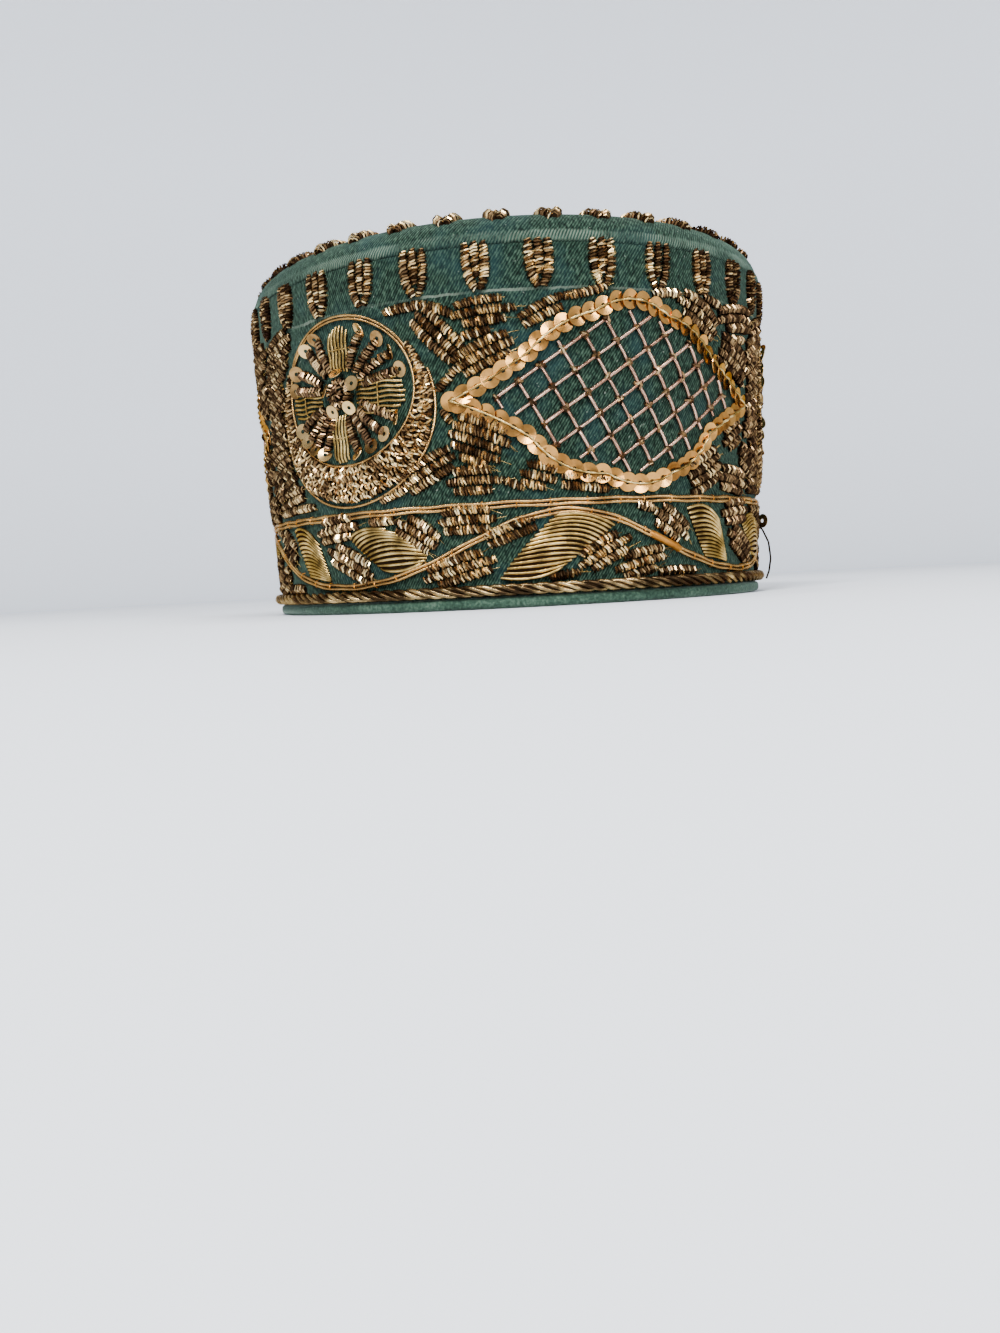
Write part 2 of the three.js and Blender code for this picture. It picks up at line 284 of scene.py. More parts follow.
# A node that works on two values or two vectors
def two_way(tree, kind, operation, first, second=0.0):
    node = add_node(tree, kind, {"operation": operation})
    join(tree, first, node.inputs[0])
    join(tree, second, node.inputs[1])
    return node


def tree_math(tree, operation, first, second=0.0):
    return two_way(tree, "ShaderNodeMath", operation, first, second)


def group_input(tree, name):
    return socket_named(tree.nodes["Group Input"].outputs, name)


def keep_value(tree, geometry, name, value, domain="POINT"):
    return add_node(tree, "GeometryNodeStoreNamedAttribute", {"data_type": "FLOAT", "domain": domain},
                    geometry=geometry, name=name, value=value)


def kept_value(tree, name, kind="FLOAT"):
    return add_node(tree, "GeometryNodeInputNamedAttribute", {"data_type": kind}, name=name)


def along_thread(tree, measure):
    return socket_named(add_node(tree, "GeometryNodeSplineParameter").outputs, measure)


def finish_tree(tree, geometry, rounded=True):
    plain = add_node(tree, "GeometryNodeRealizeInstances", geometry=geometry)
    plain = add_node(tree, "GeometryNodeSetShadeSmooth", geometry=plain, shade_smooth=rounded)
    dressed = add_node(tree, "GeometryNodeSetMaterial", geometry=plain, material=group_input(tree, "Finish"))
    join(tree, dressed, socket_named(tree.nodes["Group Output"].inputs, "Geometry"))
    return tree


# Stands a shape on every sewn point, turned to its path and tilted a little at random
def stand_on_points(tree, shape):
    turned = add_node(tree, "FunctionNodeAxesToRotation", {"primary_axis": "Z", "secondary_axis": "Y"},
                      primary_axis=kept_value(tree, "heading", "FLOAT_VECTOR"),
                      secondary_axis=kept_value(tree, "outward", "FLOAT_VECTOR"))
    lean, spread, seed = (group_input(tree, name) for name in ("Lean", "Tilt spread", "Seed"))
    least = two_way(tree, "ShaderNodeVectorMath", "SUBTRACT", lean, spread)
    most = two_way(tree, "ShaderNodeVectorMath", "ADD", lean, spread)
    tilt = add_node(tree, "FunctionNodeRandomValue", {"data_type": "FLOAT_VECTOR"},
                    min=least, max=most, seed=seed)
    tilt = add_node(tree, "FunctionNodeEulerToRotation", euler=tilt)
    tilted = add_node(tree, "FunctionNodeRotateRotation", {"rotation_space": "LOCAL"},
                      rotation=turned, rotate_by=tilt)
    stood = add_node(tree, "GeometryNodeInstanceOnPoints", points=group_input(tree, "Geometry"),
                     instance=shape, rotation=tilted, scale=kept_value(tree, "size"))
    tone = add_node(tree, "FunctionNodeRandomValue", {"data_type": "FLOAT"}, seed=seed)
    return keep_value(tree, stood, "tone", tone, "INSTANCE")


SEWN_INPUTS = [
    ("Lean", "NodeSocketVector", (0.0, 0.0, 0.0)),
    ("Tilt spread", "NodeSocketVector", (0.0, 0.0, 0.0)),
    ("Seed", "NodeSocketInt", 1),
    ("Finish", "NodeSocketMaterial", None),
]


# One turn of coiled wire arching over its path, remembering where its crest is
def coil_tree():
    tree = new_tree("coil_turns", [
        ("Width", "NodeSocketFloat", RIB_WIDTH * MM),
        ("Rise", "NodeSocketFloat", RIB_RISE * MM),
        ("Wire", "NodeSocketFloat", RIB_WIRE * MM),
    ] + SEWN_INPUTS)
    arc = add_node(tree, "GeometryNodeCurveArc", resolution=5, radius=1.0, start_angle=-RIB_OVERHANG,
                   sweep_angle=math.pi + 2 * RIB_OVERHANG)
    half = tree_math(tree, "MULTIPLY", group_input(tree, "Width"), 0.5)
    stretch = add_node(tree, "ShaderNodeCombineXYZ", x=half, y=group_input(tree, "Rise"))
    arch = add_node(tree, "GeometryNodeTransform", geometry=arc, scale=stretch)
    # Share of the way to the crest of each turn, used in its finish for a painted highlight and painted shade
    crest = tree_math(tree, "SINE", tree_math(tree, "MULTIPLY", along_thread(tree, "Factor"), math.pi))
    arch = keep_value(tree, arch, "crest", crest)
    section = add_node(tree, "GeometryNodeCurvePrimitiveCircle", resolution=3,
                       radius=group_input(tree, "Wire"))
    flat = add_node(tree, "GeometryNodeTransform", geometry=section, scale=(WIRE_FLATNESS, 1.0, 1.0))
    wire = add_node(tree, "GeometryNodeCurveToMesh", curve=arch, profile_curve=flat, fill_caps=True)
    return finish_tree(tree, stand_on_points(tree, wire), rounded=False)


# A thin spangle with a hole in the middle, facing outwards
def spangle_tree():
    tree = new_tree("spangles", [
        ("Diameter", "NodeSocketFloat", LOZENGE_SPANGLE * MM),
        ("Hole share", "NodeSocketFloat", SPANGLE_HOLE),
        ("Thickness", "NodeSocketFloat", SPANGLE_THICKNESS * MM),
    ] + SEWN_INPUTS)
    diameter, hole = group_input(tree, "Diameter"), group_input(tree, "Hole share")
    quarter = tree_math(tree, "MULTIPLY", diameter, 0.25)
    middle = tree_math(tree, "MULTIPLY", quarter, tree_math(tree, "ADD", hole, 1.0))
    half = tree_math(tree, "MULTIPLY", diameter, 0.5)
    breadth = tree_math(tree, "MULTIPLY", half, tree_math(tree, "SUBTRACT", 1.0, hole))
    ring = add_node(tree, "GeometryNodeCurvePrimitiveCircle", resolution=18, radius=middle)
    section = add_node(tree, "GeometryNodeCurvePrimitiveQuadrilateral", width=breadth,
                       height=group_input(tree, "Thickness"))
    dished = add_node(tree, "GeometryNodeTransform", geometry=section, rotation=(0.0, 0.0, SPANGLE_DISH))
    disc = add_node(tree, "GeometryNodeCurveToMesh", curve=ring, profile_curve=dished)
    facing = add_node(tree, "GeometryNodeTransform", geometry=disc, rotation=(math.pi / 2, 0.0, 0.0))
    return finish_tree(tree, stand_on_points(tree, facing), rounded=False)


# Round thread along polylines, remembering how far along it each point lies
def thread_tree():
    tree = new_tree("sewn_thread", [
        ("Sides", "NodeSocketInt", 6),
        ("Finish", "NodeSocketMaterial", None),
    ])
    line = add_node(tree, "GeometryNodeMeshToCurve", mesh=group_input(tree, "Geometry"))
    marked = keep_value(tree, line, "run", along_thread(tree, "Length"))
    section = add_node(tree, "GeometryNodeCurvePrimitiveCircle", resolution=group_input(tree, "Sides"),
                       radius=1.0)
    tube = add_node(tree, "GeometryNodeCurveToMesh", curve=marked, profile_curve=section,
                    scale=kept_value(tree, "thickness"), fill_caps=True)
    return finish_tree(tree, tube)


COIL_TREE = coil_tree()
SPANGLE_TREE = spangle_tree()
THREAD_TREE = thread_tree()


# Meshes and objects

def new_mesh(name, places, edges=(), faces=(), finishes=()):
    mesh = bpy.data.meshes.new(name)
    mesh.from_pydata(places, edges, faces)
    for finish in finishes:
        mesh.materials.append(finish)
    return mesh


def new_object(name, data):
    added = bpy.data.objects.new(name, data)
    bpy.context.scene.collection.objects.link(added)
    return added


def place_object(name, mesh, slot):
    piece = new_object(name, mesh)
    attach(piece, "root")
    return piece


# Runs a node tree on a mesh and keeps the result as a plain mesh
def grown_piece(name, seed_mesh, tree, values, slot):
    seed = new_object(name + "_seed", seed_mesh)
    modifier = seed.modifiers.new("grow", "NODES")
    modifier.node_group = tree
    for item in tree.interface.items_tree:
        if item.name in values and item.in_out == "INPUT":
            modifier[item.identifier] = values[item.name]
    graph = bpy.context.evaluated_depsgraph_get()
    mesh = bpy.data.meshes.new_from_object(seed.evaluated_get(graph), depsgraph=graph)
    mesh.name = name
    bpy.data.objects.remove(seed)
    return place_object(name, mesh, slot)


def store(mesh, name, kind, values):
    attribute = mesh.attributes.new(name, kind, "POINT")
    attribute.data.foreach_set("vector" if kind == "FLOAT_VECTOR" else "value", np.ravel(values))


def sewn_piece(name, sewn, tree, finish, slot, seed=1, tilt=(0.0, 0.0, 0.0), lean=(0.0, 0.0, 0.0), **sizes):
    place, heading, outward, size = sewn.arrays()
    mesh = new_mesh(name + "_points", (place * MM).tolist())
    store(mesh, "heading", "FLOAT_VECTOR", heading)
    store(mesh, "outward", "FLOAT_VECTOR", outward)
    store(mesh, "size", "FLOAT", size)
    values = {"Finish": finish, "Tilt spread": tilt, "Lean": lean, "Seed": seed}
    values.update({label: value * MM for label, value in sizes.items()})
    return grown_piece(name, mesh, tree, values, slot)


def thread_piece(name, threads, finish, slot, sides=6):
    places, edges, thickness = [], [], []
    for path, radius, closed in threads.paths:
        first = len(places)
        count = len(path)
        places.extend((path * MM).tolist())
        edges.extend((first + k, first + k + 1) for k in range(count - 1))
        if closed:
            edges.append((first + count - 1, first))
        thickness.extend([radius * MM] * count)
    mesh = new_mesh(name + "_lines", places, edges)
    store(mesh, "thickness", "FLOAT", thickness)
    return grown_piece(name, mesh, THREAD_TREE, {"Finish": finish, "Sides": sides}, slot)


COIL_TILT = (0.2, 0.28, 0.18)
COIL_SLANT = (0.0, 0.2, 0.0)


def coil_piece(name, coils, finish, seed, tilt=COIL_TILT, **sizes):
    # The dark core under each coil is painted shade between its turns
    thread_piece(name + "_core", coils.cores, DARK_CORE, "bullion")
    return sewn_piece(name, coils, COIL_TREE, finish, "bullion", seed, tilt, COIL_SLANT, **sizes)


# Dark pads under laid threads, painted shade in the gaps between them: closed sheets over rows of points
def pad_piece(name, grids, finish, slot):
    places, faces = [], []
    for top, bottom in grids:
        rows, columns = top.shape[:2]
        first = len(places)
        under = rows * columns
        places.extend((np.concatenate([top, bottom]).reshape(-1, 3) * MM).tolist())
        number = (first + np.arange(under).reshape(rows, columns)).tolist()
        for i in range(rows - 1):
            for j in range(columns - 1):
                quad = [number[i][j], number[i][j + 1], number[i + 1][j + 1], number[i + 1][j]]
                faces.append(quad)
                faces.append([corner + under for corner in reversed(quad)])
        edge = number[0] + [row[-1] for row in number[1:]]
        edge += number[-1][-2::-1] + [row[0] for row in number[-2:0:-1]]
        for a, b in zip(edge, edge[1:] + edge[:1]):
            faces.append([b, a, a + under, b + under])
    return place_object(name, new_mesh(name, places, faces=faces, finishes=[finish]), slot)


# Velvet shells: a closed profile turned round the oval, with a flat map in decimetres for the weave;
# from given points of the profile on, the back of the cloth shows or the map lies flat
OVAL_STEPS = 320
MAP_SCALE = 0.01
POLE_MERGE = 0.001


def oval_shell(name, profile, finishes, slot, back_from=None, flat_from=None):
    profile = np.asarray(profile, float)
    turn = np.linspace(0, 2 * np.pi, OVAL_STEPS, endpoint=False)
    along = np.interp(turn, GIRTH_TURN, GIRTH_RUN)
    rings = [oval_point(turn, half_width, np.full_like(turn, height)) for half_width, height in profile]
    count = len(profile)
    places = np.stack(rings, axis=1).reshape(-1, 3) * MM
    run = np.concatenate([[0], np.cumsum(np.linalg.norm(np.diff(profile, axis=0), axis=1))])
    faces, maps, kinds = [], [], []
    for step in range(OVAL_STEPS):
        ahead = (step + 1) % OVAL_STEPS
        far = along[step + 1] if ahead else GIRTH
        for k in range(count):
            above = (k + 1) % count
            if max(profile[k][0], profile[above][0]) == 0:
                continue
            faces.append((step * count + k, ahead * count + k, ahead * count + above, step * count + above))
            high = run[above] if above else run[-1]
            corners = [(along[step], run[k]), (far, run[k]), (far, high), (along[step], high)]
            if flat_from is not None and k >= flat_from:
                corners = [places[corner][:2] / MM for corner in faces[-1]]
            maps.extend((x * MAP_SCALE, y * MAP_SCALE) for x, y in corners)
            kinds.append(1 if back_from is not None and k >= back_from else 0)
    mesh = new_mesh(name, places.tolist(), faces=faces, finishes=finishes)
    mesh.uv_layers.new(name="weave").data.foreach_set("uv", np.ravel(maps))
    mesh.polygons.foreach_set("material_index", kinds)
    mesh.polygons.foreach_set("use_smooth", [True] * len(faces))
    shell = bmesh.new()
    shell.from_mesh(mesh)
    bmesh.ops.remove_doubles(shell, verts=shell.verts, dist=POLE_MERGE * MM)
    shell.to_mesh(mesh)
    shell.free()
    return place_object(name, mesh, slot)


# Materials

class Finish:
    def __init__(self, name, **sockets):
        self.material = bpy.data.materials.new(name)
        self.material.use_nodes = True
        self.tree = self.material.node_tree
        self.shader = self.tree.nodes["Principled BSDF"]
        for label, value in sockets.items():
            self.set(label.replace("_", " "), value)

    def set(self, label, value):
        join(self.tree, value, self.shader.inputs[label])

    def node(self, kind, settings=None, **inputs):
        return add_node(self.tree, kind, settings, **inputs)

    def math(self, operation, first, second=0.0):
        return tree_math(self.tree, operation, first, second).outputs[0]

    # Weighted sum of values
    def blend(self, *parts):
        total = 0.0
        for value, weight in parts:
            total = self.math("ADD", total, self.math("MULTIPLY", value, weight))
        return total

    # Share of the way from one value to another, kept between nothing and one
    def share(self, value, start, length):
        share = self.math("DIVIDE", self.math("SUBTRACT", value, start), length)
        share.node.use_clamp = True
        return share

    # Wave between nothing and one
    def wave(self, turns):
        return self.blend((self.math("SINE", turns), 0.5), (1.0, 0.5))

    def scaled(self, vector, scale):
        return two_way(self.tree, "ShaderNodeVectorMath", "MULTIPLY", vector, scale).outputs[0]

    def place(self):
        return self.node("ShaderNodeTexCoord").outputs["Object"]

    def axes(self, vector):
        return self.node("ShaderNodeSeparateXYZ", vector=vector).outputs

    def weave_map(self):
        return self.node("ShaderNodeUVMap", {"uv_map": "weave"}).outputs[0]

    def attribute(self, name):
        return self.node("ShaderNodeAttribute", {"attribute_name": name}).outputs["Fac"]

    def noise(self, scale, detail=3.0, vector=None):
        vector = vector or self.place()
        return self.node("ShaderNodeTexNoise", scale=scale, detail=detail, vector=vector).outputs[0]

    def ramp(self, factor, stops):
        node = self.tree.nodes.new("ShaderNodeValToRGB")
        join(self.tree, factor, node.inputs[0])
        marks = node.color_ramp.elements
        while len(marks) < len(stops):
            marks.new(0.5)
        for mark, (position, colour) in zip(marks, stops):
            mark.position = position
            mark.color = (*colour, 1)
        return node.outputs[0]

    # Cloudy patches, from their edge to where they are full
    def patches(self, scale, detail, edge, full, least=0.0):
        return self.ramp(self.noise(scale, detail), [(edge, (least,) * 3), (full, (1.0,) * 3)])

    # Lays a colour over the ground where a mask is full
    def tint(self, ground, colour, mask, strength):
        node = self.node("ShaderNodeMix", {"data_type": "RGBA"})
        join(self.tree, self.math("MULTIPLY", mask, strength), node.inputs[0])
        join(self.tree, ground, node.inputs[6])
        join(self.tree, (*colour, 1) if isinstance(colour, tuple) else colour, node.inputs[7])
        return node.outputs[2]

    def bump(self, height, strength, distance):
        bump = self.node("ShaderNodeBump", strength=strength, distance=distance * MM, height=height)
        self.set("Normal", bump)

    def colour(self, value):
        self.set("Base Color", value)

    def roughness(self, base, wear, change):
        self.set("Roughness", self.blend((base, 1.0), (wear, change)))


# Band round a height, ragged at its edges and full in its middle
def worn_band(finish, centre, half_width, raggedness):
    height = finish.math("DIVIDE", finish.axes(finish.place())[2], MM)
    ragged = finish.math("MULTIPLY", finish.math("SUBTRACT", finish.noise(260.0, 4.0), 0.5), raggedness)
    away = finish.math("ABSOLUTE", finish.math("SUBTRACT", finish.math("ADD", height, ragged), centre))
    return finish.share(away, half_width, -0.4 * half_width)


# Fine ribs rising to the right across the piece's own map
def slanting_ribs(finish, pitch, angle):
    across, rise = finish.axes(finish.weave_map())[:2]
    along_ribs, across_ribs = math.cos(math.radians(angle)), math.sin(math.radians(angle))
    run = finish.blend((across, across_ribs), (rise, -along_ribs))
    wander = finish.noise(380.0, 2.0)
    return finish.wave(finish.blend((run, 2 * math.pi / (pitch * MAP_SCALE)), (wander, 2.4)))


# Pile with fine slanting ribs, blue-green patches and lint; a hatched, worn crease and a chalk line
def velvet_finish():
    finish = Finish("green_velvet", Roughness=0.9, Sheen_Weight=0.14, Sheen_Roughness=0.4,
                    Sheen_Tint=(0.45, 0.72, 0.56, 1), Specular_IOR_Level=0.1)
    pile = finish.noise(125.0, 4.0, finish.scaled(finish.weave_map(), (1.0, 0.5, 1.0)))
    ribs = slanting_ribs(finish, 0.72, 56)
    ground = finish.ramp(finish.blend((ribs, 0.17), (pile, 0.83)), [
        (0.34, (0.0005, 0.003, 0.0018)), (0.5, (0.006, 0.0175, 0.0112)), (0.68, (0.039, 0.07, 0.047))])
    ground = finish.tint(ground, (0.01, 0.032, 0.036), finish.patches(70.0, 2.0, 0.52, 0.72), 0.45)
    ground = finish.tint(ground, (0.2, 0.23, 0.19), finish.patches(900.0, 1.0, 0.74, 0.8), 0.5)
    strokes = slanting_ribs(finish, 0.78, 68)
    hatch = finish.ramp(strokes, [(0.3, (0.022, 0.06, 0.046)), (0.8, (0.2, 0.25, 0.18))])
    gaps = finish.patches(90.0, 3.0, 0.42, 0.64, 0.14)
    crease = finish.math("MULTIPLY", worn_band(finish, CREASE_HEIGHT + 0.9, 1.7, 1.4), gaps)
    chalk = finish.math("MULTIPLY", worn_band(finish, CHALK_LINE_HEIGHT, 0.42, 1.3), gaps)
    ground = finish.tint(ground, hatch, crease, 0.45)
    finish.colour(finish.tint(ground, (0.22, 0.26, 0.2), chalk, 0.38))
    finish.bump(finish.blend((ribs, 0.5), (pile, 1.0), (strokes, crease)), 0.7, 0.35)
    return finish.material


def binding_finish():
    finish = Finish("pale_green_velvet", Roughness=0.9, Sheen_Weight=0.3, Sheen_Roughness=0.4,
                    Sheen_Tint=(0.55, 0.72, 0.62, 1), Specular_IOR_Level=0.15)
    pile = finish.noise(1300.0)
    finish.colour(finish.ramp(finish.blend((pile, 0.6), (finish.noise(90.0), 0.4)), [
        (0.34, (0.007, 0.02, 0.013)), (0.52, (0.027, 0.058, 0.038)), (0.7, (0.08, 0.13, 0.09))]))
    finish.bump(pile, 0.6, 0.3)
    return finish.material


def cloth_back_finish():
    finish = Finish("plain_cloth_back", Roughness=0.92, Specular_IOR_Level=0.15)
    weave = slanting_ribs(finish, 0.7, 45)
    finish.colour(finish.ramp(weave, [(0.2, (0.012, 0.028, 0.023)), (0.8, (0.026, 0.05, 0.042))]))
    finish.bump(weave, 0.4, 0.2)
    return finish.material


# Coiled wire: each turn has its own tone, with painted shade at its feet and a painted highlight at its
# crest;
# the two sides of the cap are painted darker than its front, partly as painted shade and partly as tarnish
FLANK_SHADE_AND_TARNISH = 0.2
FLANK_MIDDLE = -12
FLANK_DARKENING_FROM = 40
FLANK_DARKENING_OVER = 32


def bullion_finish(name, stops, roughness):
    finish = Finish(name, Metallic=0.9, Specular_Tint=(0.55, 0.42, 0.28, 1))
    across = finish.axes(finish.place())[0]
    aside = finish.math("ABSOLUTE", finish.math("SUBTRACT", across, FLANK_MIDDLE * MM))
    flank = finish.share(aside, FLANK_DARKENING_FROM * MM, FLANK_DARKENING_OVER * MM)
    # The crest term is a painted highlight with painted shade at the feet; the flank term is painted shade
    # and tarnish
    tone = finish.blend((finish.attribute("tone"), 0.5), (finish.noise(230.0), 0.3),
                        (finish.attribute("crest"), 0.22), (flank, -FLANK_SHADE_AND_TARNISH))
    finish.colour(finish.ramp(tone, stops))
    finish.roughness(roughness, tone, -0.15)
    return finish.material


# Thread wound with fine flat wire, seen as close rings along it
def wound_finish(name, stops, roughness, pitch=0.36, ring_share=0.35):
    finish = Finish(name, Metallic=0.9, Specular_Tint=(0.6, 0.45, 0.25, 1))
    rings = finish.wave(finish.math("MULTIPLY", finish.attribute("run"), 2 * math.pi / (pitch * MM)))
    wear = finish.noise(170.0)
    finish.colour(finish.ramp(finish.blend((rings, ring_share), (wear, 1 - ring_share)), stops))
    finish.roughness(roughness, wear, 0.15)
    finish.bump(rings, 1.4 * ring_share, 0.12)
    return finish.material


def spangle_finish(name, dull, bright):
    finish = Finish(name, Metallic=0.95, Specular_Tint=(0.75, 0.55, 0.3, 1))
    scuff = finish.noise(420.0, 4.0)
    tone = finish.blend((finish.attribute("tone"), 0.6), (scuff, 0.5))
    finish.colour(finish.ramp(tone, [(0.2, dull), (0.85, bright)]))
    finish.roughness(0.13, scuff, 0.2)
    finish.bump(scuff, 0.15, 0.1)
    return finish.material


VELVET = velvet_finish()
PALE_VELVET = binding_finish()
CLOTH_BACK = cloth_back_finish()
BULLION = bullion_finish("tarnished_bullion", [
    (0.29, (0.019, 0.0095, 0.0045)), (0.475, (0.105, 0.059, 0.026)), (0.61, (0.3, 0.19, 0.084)),
    (0.74, (0.84, 0.61, 0.28)), (0.84, (1.0, 0.82, 0.47))], 0.3)
PALE_BULLION = bullion_finish("rubbed_bullion", [
    (0.25, (0.026, 0.013, 0.006)), (0.43, (0.16, 0.092, 0.039)), (0.575, (0.4, 0.255, 0.11)),
    (0.7, (0.9, 0.63, 0.28)), (0.82, (1.0, 0.79, 0.42))], 0.28)
DARK_BULLION = bullion_finish("dark_bullion", [
    (0.28, (0.022, 0.011, 0.006)), (0.55, (0.12, 0.068, 0.034)), (0.75, (0.4, 0.26, 0.12)),
    (0.9, (0.85, 0.64, 0.35))], 0.36)
# Near-black core: painted shade inside the coils, between the rim strands and under the laid threads; also
# the stray wire's own dark colour
DARK_CORE = bullion_finish("dark_core", [
    (0.0, (0.012, 0.006, 0.003)), (1.0, (0.045, 0.025, 0.011))], 0.6)
COUCHED_GOLD = wound_finish("couched_gold", [
    (0.28, (0.08, 0.036, 0.01)), (0.5, (0.4, 0.215, 0.066)), (0.74, (0.9, 0.59, 0.23))], 0.15)
LAID_GOLD = wound_finish("laid_gold", [
    (0.31, (0.07, 0.042, 0.012)), (0.5, (0.35, 0.23, 0.07)), (0.69, (0.9, 0.67, 0.28))], 0.17, ring_share=0.1)
RIM_METAL = wound_finish("rim_twist_metal", [
    (0.34, (0.013, 0.0075, 0.004)), (0.54, (0.07, 0.042, 0.019)), (0.71, (0.88, 0.62, 0.27))],
    0.12, pitch=0.25, ring_share=0.2)
COPPER_WIRE = wound_finish("copper_wire", [
    (0.3, (0.09, 0.034, 0.02)), (0.5, (0.41, 0.195, 0.115)), (0.72, (0.95, 0.66, 0.5))], 0.16)
ORANGE_SILK = wound_finish("orange_silk", [
    (0.25, (0.2, 0.07, 0.01)), (0.5, (0.42, 0.165, 0.025)), (0.8, (0.64, 0.3, 0.06))], 0.4)
ORANGE_SPANGLE = spangle_finish("orange_spangles", (0.15, 0.056, 0.01), (0.74, 0.37, 0.095))
PALE_SPANGLE = spangle_finish("pale_spangles", (0.2, 0.1, 0.03), (0.88, 0.59, 0.24))


# Velvet body

def make_wall():
    heights = np.linspace(WALL_FOOT, CREASE_HEIGHT, 52)
    outer = np.stack([wall_half_width(heights), heights], axis=1)
    heights = np.linspace(CREASE_HEIGHT, WALL_FOOT, 12)
    inner = np.stack([wall_half_width(heights) - WALL_THICKNESS, heights], axis=1)
    profile = np.concatenate([outer, inner])
    piece = oval_shell("velvet_wall", profile, [VELVET, CLOTH_BACK], "velvet", len(outer))
    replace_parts(piece, "side_wall")


# Rolled seam over the top of the wall: distance out from the crease, and height above it
CREASE_ROLL = ((-0.5, -0.9), (0.15, -0.75), (0.36, -0.2), (0.42, 0.4), (0.35, 1.1))
ROLL_REACH = 1.8
SHOULDER_REACH = 13
POLE_MARGIN = 0.4


def make_crown():
    roll = np.array(CREASE_ROLL) + (CREASE_HALF_WIDTH, CREASE_HEIGHT)
    middle = SHOULDER_RADIUS * (np.pi / 2 - 1) + CREASE_HALF_WIDTH
    shoulder = np.linspace(ROLL_REACH, SHOULDER_REACH, 18)
    flat = np.linspace(SHOULDER_REACH + 1, middle - POLE_MARGIN, 26)
    half_width, height = crown_section(np.concatenate([shoulder, flat, [middle]]))
    half_width[-1] = 0
    outer = np.concatenate([roll, np.stack([half_width, height], axis=1)])
    inner = np.stack([half_width - WALL_THICKNESS, np.maximum(height - WALL_THICKNESS, CROWN_FOOT)], axis=1)
    inner = np.concatenate([inner[inner[:, 0] > 0], [(0, height[-1] - WALL_THICKNESS)]])
    profile = np.concatenate([outer, inner[::-1]])
    flat_from = int(np.argmax(profile[:, 0] < CREASE_HALF_WIDTH - SHOULDER_RADIUS))
    piece = oval_shell("velvet_crown", profile, [VELVET, CLOTH_BACK], "velvet", len(outer), flat_from)
    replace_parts(piece, "crown_top")


# Binding folded under the wall: how far it reaches inside, and how square its section is
BINDING_REACH = 1.3
BINDING_SQUARENESS = (0.7, 0.6)


def make_binding():
    inner = wall_half_width(0) - WALL_THICKNESS - BINDING_REACH
    half_size = np.array([BINDING_HALF_WIDTH - inner, BINDING_HEIGHT]) / 2
    angle = np.linspace(-np.pi / 2, 1.5 * np.pi, 25)[:-1]
    circle = np.stack([np.cos(angle), np.sin(angle)], axis=1)
    swell = np.sign(circle) * np.abs(circle) ** BINDING_SQUARENESS
    profile = (inner, 0) + half_size + swell * half_size
    piece = oval_shell("velvet_binding", profile, [PALE_VELVET], "binding_velvet")
    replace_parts(piece, "rim_binding")


# Twisted cord on the rim: strands wound round a dark core, which is painted shade in the gaps between them
RIM_CORD_HEIGHT = 5.1
RIM_CORD_GAP = 0.1
RIM_STRANDS = 4
RIM_TURNS = 33
RIM_WIND_RADIUS = 1.04
RIM_STRAND_RADIUS = 0.62
RIM_CORE_RADIUS = 0.95


def make_rim_cord():
    strands, core = Threads(), Threads()
    along = np.linspace(0, GIRTH, 1001)
    place, side, up, out = wall(along, RIM_CORD_HEIGHT)
    middle = place + out * (RIM_WIND_RADIUS + RIM_STRAND_RADIUS + RIM_CORD_GAP)
    for strand in range(RIM_STRANDS):
        angle = 2 * np.pi * (strand / RIM_STRANDS - RIM_TURNS * along / GIRTH)
        wound = out * np.cos(angle)[:, None] + up * np.sin(angle)[:, None]
        strands.add(middle + RIM_WIND_RADIUS * wound, RIM_STRAND_RADIUS, closed=True)
    piece = thread_piece("rim_twist", strands, RIM_METAL, "bullion")
    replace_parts(piece, "rim_cord")
    # The dark core is painted shade between the strands
    core.add(middle[::4], RIM_CORE_RADIUS, closed=True)
    thread_piece("rim_twist_core", core, DARK_CORE, "bullion")


# Couched cords of the frieze, each a pair of threads tied down with silk; the vine is worn to its core once
GUARD_HEIGHT = 27.6
FRIEZE_CENTRE = 3
VINE_MIDDLE_HEIGHT = 15.5
VINE_SWING = 8.8
VINE_FLAT_TROUGH = 0.12
COUCHED_LIFT = COUCHED_RADIUS + 0.15
COUCHED_SPREAD = 1.15
COUCHED_WAVER = 0.12
COUCHED_WAVES = 37
TIE_STEP = 9.0
TIE_SCATTER = 1.5
VINE_WORN = (28, 38.5)
VINE_CORE_RADIUS = 1.05
VINE_CORE_LIFT = 0.9


def guard_height(along):
    return GUARD_HEIGHT + 0 * along


def vine_height(along):
    wave = 2 * np.pi * FRIEZE_REPEATS * (along - FRIEZE_CENTRE) / GIRTH
    return VINE_MIDDLE_HEIGHT + VINE_SWING * (np.cos(wave) + VINE_FLAT_TROUGH * np.cos(2 * wave))


def make_couched_cord(name, node, height_at, ties):
    threads = Threads()
    along = np.linspace(0, GIRTH, 700)
    for aside in (-COUCHED_RADIUS, COUCHED_RADIUS):
        waver = COUCHED_WAVER * np.sin(along * 2 * np.pi * COUCHED_WAVES / GIRTH + aside)
        path = np.stack([along, height_at(along) + COUCHED_SPREAD * aside + waver], axis=1)
        threads.sew(wall, path, COUCHED_RADIUS, COUCHED_LIFT, closed=True)
    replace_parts(thread_piece(name, threads, COUCHED_GOLD, "laid_gold"), node)
    count = int(GIRTH / TIE_STEP)
    for at in repeats(count) + draw.uniform(-TIE_SCATTER, TIE_SCATTER, count):
        ahead = height_at(at + 0.5) - height_at(at - 0.5)
        ties.at(wall, (at, height_at(at)), (1, float(ahead)))


